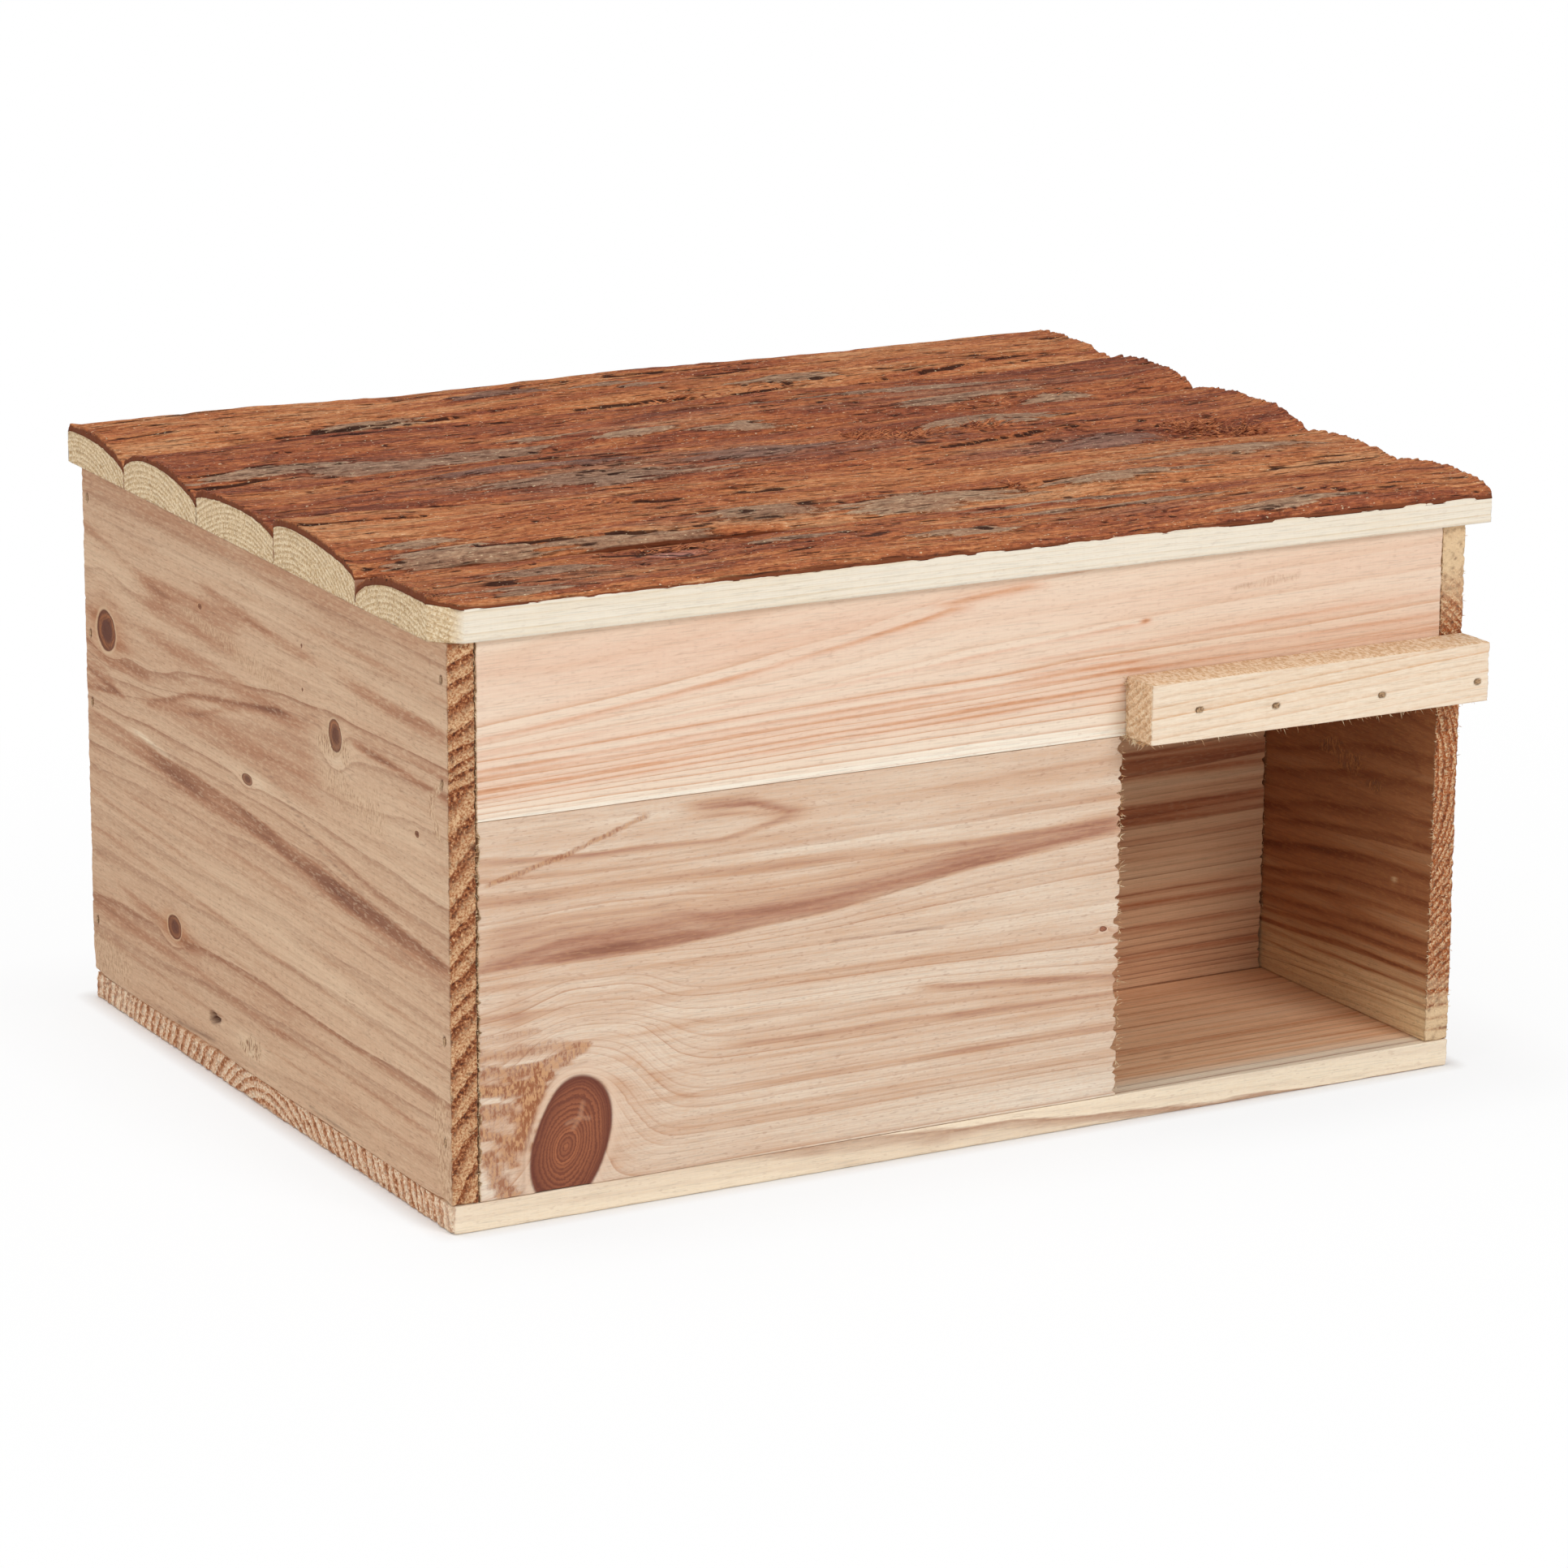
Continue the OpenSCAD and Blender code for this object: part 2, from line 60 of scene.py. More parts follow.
print("frame loaded:", len(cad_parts), "nodes")


# small helpers: colour, nodes, noise, meshes

def linear(colour):
    # sRGB hex, or a number for a grey, to the linear colour that a shader wants
    if not isinstance(colour, str):
        return [colour] * 3 + [1.0]
    parts = [int(colour[k:k + 2], 16) / 255 for k in (1, 3, 5)]
    return [c / 12.92 if c <= 0.04045 else ((c + 0.055) / 1.055) ** 2.4 for c in parts] + [1.0]


def add(tree, kind, inputs=None, out=0, stops=(), **settings):
    # One node with its settings and links, given back as its output. An input is a value, a hex colour or
    # another output. Stops are a ramp's pairs of place and colour.
    node = tree.nodes.new(kind)
    for name, value in settings.items():
        setattr(node, name, value)
    for socket, value in (inputs or {}).items():
        if isinstance(value, bpy.types.NodeSocket):
            tree.links.new(value, node.inputs[socket])
        else:
            node.inputs[socket].default_value = linear(value) if isinstance(value, str) else value
    elements = node.color_ramp.elements if stops else []
    while len(elements) < len(stops):
        elements.new(0.5)
    for element, (place, colour) in zip(elements, stops):
        element.position = place
        element.color = linear(colour)
    return node.outputs[out]


def calc(tree, operation, *values, clamp=False):
    return add(tree, "ShaderNodeMath", dict(enumerate(values)), operation=operation, use_clamp=clamp)


def times(tree, *values, clamp=False):
    # the first value times the second, plus the third if there is one
    return calc(tree, "MULTIPLY_ADD" if len(values) > 2 else "MULTIPLY", *values, clamp=clamp)


def mix(tree, share, under, over, blend="MIX"):
    return add(tree, "ShaderNodeMix", {0: share, 6: under, 7: over}, 2, data_type="RGBA", blend_type=blend)


def ramp(tree, value, stops):
    return add(tree, "ShaderNodeValToRGB", {0: value}, stops=stops)


def stretched(tree, place, along, patterns):
    # noise drawn out along the grain: each pattern's length along it, width across it, detail and roughness
    texture = {}
    for pattern, (length, width, detail, roughness) in patterns.items():
        scale = [1000 / width] * 3
        scale[along] = 1000 / length
        spread = add(tree, "ShaderNodeMapping", {"Vector": place, "Scale": scale})
        texture[pattern] = add(tree, "ShaderNodeTexNoise", {"Vector": spread, "Scale": 1.0, "Detail": detail,
                                                            "Roughness": roughness})
    return texture


def meshFields(tree, names):
    return {name: add(tree, "ShaderNodeAttribute", out="Fac", attribute_name=name) for name in names}


def newMaterial(name):
    material = bpy.data.materials.new(name)
    material.use_nodes = True
    tree = material.node_tree
    return material, tree, tree.nodes["Principled BSDF"]


def dressShader(tree, shader, colour, relief, look):
    # what wood and bark end with: colour, a relief of so many millimetres, dullness and shine
    tree.links.new(colour, shader.inputs["Base Color"])
    bump = add(tree, "ShaderNodeBump", {"Strength": 1.0, "Distance": look["relief"] / 1000, "Height": relief})
    tree.links.new(bump, shader.inputs["Normal"])
    shader.inputs["Roughness"].default_value = look["dullness"]
    shader.inputs["Specular IOR Level"].default_value = look["shine"]


# whole numbers that scramble a lattice point's place into a random value of 32 bits
scramble = (374761393, 668265263, 2246822519, 3266489917)
bits = 0xFFFFFFFF


def noise(places, size, seed=0):
    # smooth random field from -1 to 1: random values at whole-number points, blended by 3t^2 - 2t^3;
    # size is how far apart those points lie along each axis
    scaled = np.stack(np.broadcast_arrays(*[np.asarray(p, float) / s for p, s in zip(places, size)]), axis=-1)
    corner = np.floor(scaled).astype(np.int64)
    share = scaled - corner
    share = share * share * (3 - 2 * share)
    total = 0.0
    for step in range(1 << len(size)):
        offset = np.array([step >> k & 1 for k in range(len(size))])
        key = ((corner + offset) * np.array(scramble[:len(size)])).sum(axis=-1)
        key = (key + seed * scramble[3]) & bits
        key = ((key ^ (key >> 15)) * scramble[2]) & bits
        key = ((key ^ (key >> 13)) * scramble[3]) & bits
        value = ((key ^ (key >> 16)) & 0xFFFFFF) / 0xFFFFFF
        total = total + value * np.where(offset, share, 1 - share).prod(axis=-1)
    return total * 2 - 1


def rough(places, size, seed=0, octaves=3):
    # sum of noises, each half as large and half as strong as the one before
    total = 0.0
    for k in range(octaves):
        total = total + noise(places, [s / 2 ** k for s in size], seed + 17 * k) / 2 ** k
    return total / (2 - 2 ** (1 - octaves))


def ease(value, low, high):
    # 0 below low, 1 above high, smooth between
    t = np.clip((value - low) / (high - low), 0, 1)
    return t * t * (3 - 2 * t)


def unit(vectors):
    return vectors / np.maximum(np.linalg.norm(vectors, axis=1, keepdims=True), 1e-9)


def offLine(x, y, line, wander, fade=3.5):
    # how far each point lies above a line of points, which wanders a little, and where the line runs
    lineX, lineY = np.array(line, float).T
    within = ease(x, lineX[0] - fade, lineX[0] + fade) * ease(-x, -lineX[-1] - fade, -lineX[-1] + fade)
    return y - np.interp(x, lineX, lineY) + wander, within


def ellipse(x, y, middleX, middleY, halfX, halfY):
    # 0 in the middle of an ellipse, 1 on its outline
    return np.hypot((x - middleX) / halfX, (y - middleY) / halfY)


def lineDistance(x, y, line):
    # distance from each point to the nearest place on a line of points
    corners = np.array(line, float)
    nearest = np.full(len(x), np.inf)
    for start, run in zip(corners, np.diff(corners, axis=0)):
        share = np.clip(((x - start[0]) * run[0] + (y - start[1]) * run[1]) / (run @ run), 0, 1)
        nearest = np.minimum(nearest, np.hypot(x - start[0] - share * run[0], y - start[1] - share * run[1]))
    return nearest


# how far the lattice lines round a brad lie from it, and how close two lines may come
aroundBrad = (-1.9, -1.5, -1.15, -0.7, 0, 0.7, 1.15, 1.5, 1.9)
leastStep = 0.12


def gridLine(low, high, step, extra=(), ends=(0.3, 0.7, 1.2, 1.9), spans=()):
    # lattice lines from low to high about step apart, closer together at both ends, round extra places and in
    # spans, which are a place, a half length and a step
    near = np.array([0, *ends])
    middle = np.linspace(low + near[-1], high - near[-1], max(2, int(round((high - low) / step))))
    around = [place + shift for place in extra for shift in aroundBrad]
    dense = [np.arange(place - half, place + half, fine) for place, half, fine in spans]
    every = np.concatenate([low + near, middle, high - near, around, *dense])
    every = np.unique(np.round(every[(every >= low) & (every <= high)], 3))
    keep = np.concatenate([[True], np.diff(every) > leastStep])
    keep[-1] = True
    every = every[keep]
    every[0], every[-1] = low, high
    return every


def boxShell(lines):
    # the outside of a box with the given lattice lines: every point once, four-sided faces turned outwards
    count = [len(line) for line in lines]
    index = np.indices(count)
    outside = np.zeros(count, bool)
    for axis in range(3):
        outside |= (index[axis] == 0) | (index[axis] == count[axis] - 1)
    number = np.full(count, -1)
    number[outside] = np.arange(outside.sum())
    points = np.stack([lines[k][index[k][outside]] for k in range(3)], axis=1)
    quads = []
    for axis in range(3):
        for end in (0, -1):
            face = np.take(number, end, axis=axis)
            corners = [face[:-1, :-1], face[1:, :-1], face[1:, 1:], face[:-1, 1:]]
            if (end == 0) != (axis == 1):
                corners.reverse()
            quads.append(np.stack([c.ravel() for c in corners], axis=1))
    return points, np.concatenate(quads)


def spikes(places, heads, lengths, widths, seed):
    # thin three-sided fibres: a triangle round each place, a smaller one half way out and a bent tip
    random = np.random.default_rng(seed)
    count = len(places)
    out = unit(heads)
    side = unit(np.cross(out, random.normal(size=(count, 3))))
    other = np.cross(out, side)
    bend = side * (random.normal(0, 0.22, count) * lengths)[:, None]
    rings = []
    for share, thick in ((0, 1.0), (0.5, 0.7)):
        middle = places + out * (share * lengths)[:, None] + bend * share ** 2
        for angle in (0, 2 * math.pi / 3, 4 * math.pi / 3):
            around = math.cos(angle) * side + math.sin(angle) * other
            rings.append(middle + around * (thick * widths)[:, None])
    points = np.stack([*rings, places + out * lengths[:, None] + bend], axis=1)
    one = [(0, 2, 1)]
    for k in range(3):
        follow = (k + 1) % 3
        one += [(k, follow, follow + 3), (k, follow + 3, k + 3), (k + 3, follow + 3, 6)]
    faces = np.array(one)[None] + 7 * np.arange(count)[:, None, None]
    return points.reshape(-1, 3), faces.reshape(-1, 3)


def makePiece(name, points, faces, material, body, replaced=(), fields=None):
    # arrays of points and of faces, all with the same number of corners, to a piece that rides on a body
    mesh = bpy.data.meshes.new(name)
    sides = faces.shape[1]
    mesh.vertices.add(len(points))
    mesh.vertices.foreach_set("co", (points / 1000).astype(np.float32).ravel())
    mesh.loops.add(faces.size)
    mesh.loops.foreach_set("vertex_index", faces.astype(np.int32).ravel())
    mesh.polygons.add(len(faces))
    mesh.polygons.foreach_set("loop_start", np.arange(0, faces.size, sides, dtype=np.int32))
    mesh.polygons.foreach_set("use_smooth", np.ones(len(faces), bool))
    mesh.update(calc_edges=True)
    for field, values in (fields or {}).items():
        kind, key = ("FLOAT_VECTOR", "vector") if values.ndim > 1 else ("FLOAT", "value")
        mesh.attributes.new(field, kind, "POINT").data.foreach_set(key, values.astype(np.float32).ravel())
    mesh.validate()
    piece = bpy.data.objects.new(name, mesh)
    scene.collection.objects.link(piece)
    mesh.materials.append(material)
    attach(piece, body)
    if replaced:
        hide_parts(*replaced)
    return piece


def boxOf(node):
    low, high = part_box(node)
    return np.array(low) * 1000, np.array(high) * 1000


# camera, floor and light

cameraLook = {"place": (-971.5, -1771.2, 625.8), "yaw": 28.993, "pitch": 14.75, "roll": 0.33, "lens": 131.27,
              "sensor": 36, "farthest": 50}

cameraData = bpy.data.cameras.new("camera")
cameraData.lens = cameraLook["lens"]
cameraData.sensor_width = cameraLook["sensor"]
cameraData.clip_end = cameraLook["farthest"]
camera = bpy.data.objects.new("camera", cameraData)
scene.collection.objects.link(camera)
turn = Matrix.Rotation(math.radians(-cameraLook["yaw"]), 4, "Z")
tilt = Matrix.Rotation(math.radians(90 - cameraLook["pitch"]), 4, "X")
roll = Matrix.Rotation(math.radians(cameraLook["roll"]), 4, "Z")
camera.matrix_world = Matrix.Translation(Vector(cameraLook["place"]) / 1000) @ turn @ tilt @ roll
scene.camera = camera

# lights and floor in metres: each lamp's place, size and power; the floor's grey, half size, the half size of
# what stands on it and how far from that its glow grows
lightLook = {
    "sky": 0.49, "aim": (0, 0, 0.1),
    "lamps": {"key_softbox": ((0.7, -2.4, 1.9), 1.1, 31.5), "side_softbox": ((-2.4, -0.7, 1.3), 1.2, 13.0),
              "top_softbox": ((-0.5, 0.5, 2.5), 1.2, 18.5)},
    "floorGrey": 0.9, "floorDullness": 0.9, "floorHalf": 20, "standing": (0.200, 0.154, 0),
    "floorReach": 0.4,
    "floorGlow": [(0.0, 0.0), (0.006, 0.25), (0.02, 0.8), (0.15, 0.93), (1.0, 1.0)]
}


def makeLamp(name, place, size, power):
    data = bpy.data.lights.new(name, "AREA")
    data.shape = "DISK"
    data.size = size
    data.energy = power
    lamp = bpy.data.objects.new(name, data)
    scene.collection.objects.link(lamp)
    lamp.location = place
    lamp.rotation_euler = (Vector(lightLook["aim"]) - Vector(place)).to_track_quat("-Z", "Y").to_euler()


for lampName, (place, size, power) in lightLook["lamps"].items():
    makeLamp(lampName, place, size, power)

world = bpy.data.worlds.new("studio")
scene.world = world
world.use_nodes = True
background = world.node_tree.nodes["Background"]
background.inputs["Color"].default_value = (1, 1, 1, 1)
seen = calc(world.node_tree, "MAXIMUM", add(world.node_tree, "ShaderNodeLightPath", out="Is Camera Ray"),
            add(world.node_tree, "ShaderNodeLightPath", out="Is Glossy Ray"))
strength = add(world.node_tree, "ShaderNodeMapRange", {"Value": seen, "To Min": lightLook["sky"],
                                                       "To Max": 1.0})
world.node_tree.links.new(strength, background.inputs["Strength"])

# pale floor: most of what the camera sees of it is a plain glow, all of it far away and less within some
# millimetres of the floor board, so that it stays white and keeps the shadow that the house stands on
floorMaterial, tree, shader = newMaterial("PaleStudioFloor")
shader.inputs["Base Color"].default_value = linear(lightLook["floorGrey"])
shader.inputs["Roughness"].default_value = lightLook["floorDullness"]
away = add(tree, "ShaderNodeVectorMath", {0: add(tree, "ShaderNodeTexCoord", out="Object")},
           operation="ABSOLUTE")
away = add(tree, "ShaderNodeVectorMath", {0: away, 1: lightLook["standing"]}, operation="SUBTRACT")
away = add(tree, "ShaderNodeVectorMath", {0: away, 1: (0, 0, 0)}, operation="MAXIMUM")
away = add(tree, "ShaderNodeVectorMath", {0: away}, out="Value", operation="LENGTH")
away = calc(tree, "DIVIDE", away, lightLook["floorReach"], clamp=True)
glowShare = ramp(tree, away, lightLook["floorGlow"])
share = times(tree, add(tree, "ShaderNodeLightPath", out="Is Camera Ray"), glowShare)
glow = add(tree, "ShaderNodeEmission", {"Color": (1, 1, 1, 1), "Strength": 1.0})
both = add(tree, "ShaderNodeMixShader", {0: share, 1: shader.outputs[0], 2: glow})
tree.links.new(both, tree.nodes["Material Output"].inputs["Surface"])
floorMesh = bpy.data.meshes.new("studio_floor")
half = lightLook["floorHalf"]
corners = [(-half, -half, 0), (half, -half, 0), (half, half, 0), (-half, half, 0)]
floorMesh.from_pydata(corners, [], [(0, 1, 2, 3)])
floor = bpy.data.objects.new("studio_floor", floorMesh)
scene.collection.objects.link(floor)
floorMesh.materials.append(floorMaterial)
print("camera, floor and lamps made")


# wood

def woodMaterial(name, look):
    # Dull, open-pored softwood straight from the saw. The mesh's fields say where year rings, streaks, knots,
    # marks and torn places lie; the nodes add what is finer: sharp ring lines, fibres, fuzz and saw marks.
    material, tree, shader = newMaterial(name)
    place = add(tree, "ShaderNodeTexCoord", out="Object")
    patterns = {"fibres": (14, 0.5, 3, 0.6), "cloud": (45, 3.5, 4, 0.55), "threads": (55, 1.1, 3, 0.6),
                "dashes": (3.0, 0.7, 1, 0.5), "grit": (0.8, 0.8, 2, 0.7), "saw": (1.0, 14, 2, 0.6),
                "tears": (0.9, 2.2, 2, 0.6), "chips": (1.7, 1.1, 2, 0.6)}
    texture = stretched(tree, place, look["along"], patterns)
    field = meshFields(tree, ("rings", "lines", "tone", "markAndShade", "torn", "knot", "depth", "whorl", "halo",
                              "hollowShade", "endGrain"))

    # year rings: pale early wood darkens slowly to a line of late wood and ends sharply, by luck more or less
    ringPlace = times(tree, texture["cloud"], look["wobble"], field["rings"])
    ringPart = calc(tree, "FRACT", ringPlace)
    ringLine = ramp(tree, ringPart, [(0.0, 0.0), (0.45, 0.04), (0.74, 0.26), (0.88, 0.8), (0.955, 1.0),
                                     (1.0, 0.1)])
    ringNumber = calc(tree, "FLOOR", ringPlace)
    luck = add(tree, "ShaderNodeTexWhiteNoise", {"W": ringNumber}, noise_dimensions="1D")
    strong = times(tree, luck, 0.8, 0.2)
    strong = times(tree, strong, field["lines"])
    patchy = times(tree, texture["cloud"], 1.0, 0.5)
    strong = times(tree, strong, patchy, clamp=True)
    ringShare = times(tree, ringLine, strong)
    finePlace = times(tree, ringPlace, look["fineRings"])
    finePart = calc(tree, "FRACT", finePlace)
    fineLine = ramp(tree, finePart, [(0.0, 0.0), (0.55, 0.1), (0.85, 1.0), (1.0, 0.1)])
    fineShare = times(tree, fineLine, texture["threads"])

    # ground colour from sapwood (0) over plain wood (0.5) to the darkest streaks (1)
    tone = times(tree, texture["cloud"], look["cloud"], field["tone"])
    tone = times(tree, texture["threads"], look["threads"], tone)
    middle = 0.5 - 0.25 * (look["cloud"] + look["threads"])
    banded = times(tree, luck, look["bandTone"], -0.5 * look["bandTone"])
    tone = calc(tree, "ADD", tone, banded)
    tone = times(tree, tone, 0.5, middle, clamp=True)
    colour = ramp(tree, tone, look["tones"])
    share = times(tree, ringShare, look["ringShare"])
    colour = mix(tree, share, colour, look["lateWood"])
    share = times(tree, fineShare, look["fineShare"])
    colour = mix(tree, share, colour, look["lateWood"])

    # fibres and saw marks shade the surface, short pale dashes are fuzz and dark ones are pores
    shade = ramp(tree, texture["fibres"], [(0.3, 0.74), (0.48, 0.98), (0.7, 1.0)])
    colour = mix(tree, look["fibre"], colour, shade, "MULTIPLY")
    shade = ramp(tree, texture["saw"], [(0.35, 0.8), (0.6, 1.0)])
    colour = mix(tree, look["saw"], colour, shade, "MULTIPLY")
    fuzz = ramp(tree, texture["dashes"], [(0.52, 0.0), (0.68, 1.0)])
    fuzz = times(tree, fuzz, look["fuzz"])
    torn = times(tree, field["torn"], 0.85)
    colour = mix(tree, torn, colour, look["tornColour"])
    # in torn places the ridges get a painted highlight in the fuzz colour and the pits between them painted
    # shade in the pore colour, both following the tears in the relief
    ridgeHighlight = ramp(tree, texture["tears"], [(0.48, 0.0), (0.58, 0.8)])
    fuzz = add(tree, "ShaderNodeMix", {0: field["torn"], 2: fuzz, 3: ridgeHighlight})
    colour = mix(tree, fuzz, colour, look["fuzzAndHighlightColour"])
    pores = ramp(tree, texture["dashes"], [(0.27, 1.0), (0.38, 0.0)])
    pores = times(tree, pores, look["pores"])
    tornPitShade = ramp(tree, texture["tears"], [(0.38, 0.9), (0.47, 0.0)])
    pores = add(tree, "ShaderNodeMix", {0: field["torn"], 2: pores, 3: tornPitShade})
    colour = mix(tree, pores, colour, look["poreAndShadeColour"])

    # knots: their field is 0.5 on the outline and 1 in the middle. Rings lie round the middle, each darker or
    # paler than the next, a dark rim lies on the outline and a pale seam outside it
    colour = mix(tree, field["halo"], colour, look["halo"])
    whorl = times(tree, texture["grit"], 0.9, field["whorl"])
    knotPart = calc(tree, "FRACT", whorl)
    knotLuck = add(tree, "ShaderNodeTexWhiteNoise", {"W": calc(tree, "FLOOR", whorl)}, noise_dimensions="1D")
    knotLine = ramp(tree, knotPart, [(0.0, 0.1), (0.4, 0.2), (0.8, 1.0), (1.0, 0.2)])
    knotLine = times(tree, knotLuck, 0.5, knotLine, clamp=True)
    knotLine = times(tree, knotLine, look["knotRings"])
    knotColour = mix(tree, knotLine, look["knot"], look["knotDark"])
    rimEnd = 0.72 - 0.12 * look["knotCore"]
    for stops, over in (([(0.37, 0.0), (0.445, 0.6), (0.485, 0.1)], look["seam"]),
                        ([(0.482, 0.0), (0.507, 1.0)], knotColour),
                        ([(0.6, 0.0), (0.76, look["knotCore"])], look["knotDark"]),
                        ([(0.47, 0.0), (0.5, 0.8), (0.55, 0.5), (rimEnd, 0.0)], look["knotDark"])):
        share = ramp(tree, field["knot"], stops)
        share = times(tree, share, field["depth"])
        colour = mix(tree, share, colour, over)
    # the mark field: cracks and scratches, and painted shade round brads, in holes and where roof slabs meet
    colour = mix(tree, field["markAndShade"], colour, look["markAndShadeColour"])

    # end grain drinks the light: smooth bands take turns with torn ones full of pale chips and painted shade
    # in their hollows
    chips = ramp(tree, texture["chips"], [(0.34, look["endHollowShade"]), (0.5, look["endDark"]),
                                          (0.62, look["endMid"]), (0.72, look["endPale"])])
    smooth = ramp(tree, texture["grit"], [(0.3, look["endDark"]), (0.42, look["endMid"]),
                                          (0.62, look["endPale"])])
    band = ramp(tree, ringPart, [(0.0, 0.0), (0.35, 0.1), (0.65, 0.95), (0.93, 1.0), (1.0, 0.0)])
    band = times(tree, band, look["endBand"])
    endColour = mix(tree, band, smooth, chips)
    pale = times(tree, tone, -2.2 * look["endTone"], look["endTone"], clamp=True)
    endColour = mix(tree, pale, endColour, look["endPale"])
    # painted shade where the saw broke fibres out of the end
    endColour = mix(tree, field["hollowShade"], endColour, look["endHollowShade"])
    colour = mix(tree, field["endGrain"], colour, endColour)

    # relief: fibres and saw marks, fuzz on top, pores, and much rougher ends
    relief = times(tree, texture["fibres"], 0.7, fuzz)
    relief = times(tree, texture["saw"], look["saw"], relief)
    relief = calc(tree, "SUBTRACT", relief, pores)
    ends = times(tree, texture["chips"], field["endGrain"])
    relief = times(tree, ends, 5.0, relief)
    dressShader(tree, shader, colour, relief, look)
    return material


# What every board shares; each board's own dictionary changes some of it. Pith is where the log's middle is,
# rings the least and greatest width of a year ring, steps are lattice widths, sinks are depths of dents. The
# grain is pulled to a knot over so many of its half sizes, and the rings swell round it in a collar.
plainWood = {
    "along": 0, "across": 2, "body": "house", "slot": "pink_softwood", "pith": (150, 60), "cone": 0.0,
    "wander": 1.2, "rings": (2.5, 4.5), "seed": 1, "guides": [], "knots": [], "streaks": [], "bands": [],
    "blobs": [], "marks": [], "torn": [], "zones": [], "heads": [], "headHalf": (1, 1, 1), "chips": [],
    "hole": None, "arris": 0.35, "jag": (0.35, 0.35), "endTorn": 0.25, "stepAlong": 3.2, "stepAcross": 1.1,
    "stepThrough": 1.6, "stepKnot": 0.9, "drop": 0.0, "wobble": 0.4, "cloud": 0.4, "threads": 0.25,
    "ringShare": 0.75, "fineRings": 3.3, "fineShare": 0.25, "bandTone": 0.12, "swirl": 0.5, "sawnTop": 0,
    "fibre": 0.6, "saw": 0.08, "fuzz": 0.2, "pores": 0.2, "relief": 0.12, "dullness": 0.78, "shine": 0.28,
    "knotSink": 0.3, "bradSink": 0.38, "bradShade": 0.75, "holeSink": 4.5, "endReach": 8, "knotPull": 0.8,
    "knotReach": 1.9, "collar": 0.9, "collarReach": 1.5,
    "tones": [(0.0, "#f3e3c6"), (0.5, "#ecd0b4"), (0.72, "#dcae8c"), (1.0, "#a5714f")], "lateWood": "#d39c78",
    "fuzzAndHighlightColour": "#f6e6cc", "poreAndShadeColour": "#a97b5c", "knot": "#9a5f47", "knotDark": "#6e3c2c",
    "seam": "#e6cdb0", "halo": "#c98f68", "markAndShadeColour": "#8a5a40", "tornColour": "#c48a5c", "knotRings": 0.85,
    "knotCore": 0.0, "knotCracks": [], "endDark": "#a8744c", "endMid": "#cfa57c", "endPale": "#ecd6b0",
    "endHollowShade": "#7d4f33", "endTone": 0.5, "endBand": 0.6
}


def straight(start, end, rows):
    # streaks that run straight from start to end: height at both, spread above and below, strength
    return [([(start, first), (end, last)], *rest) for first, last, *rest in rows]


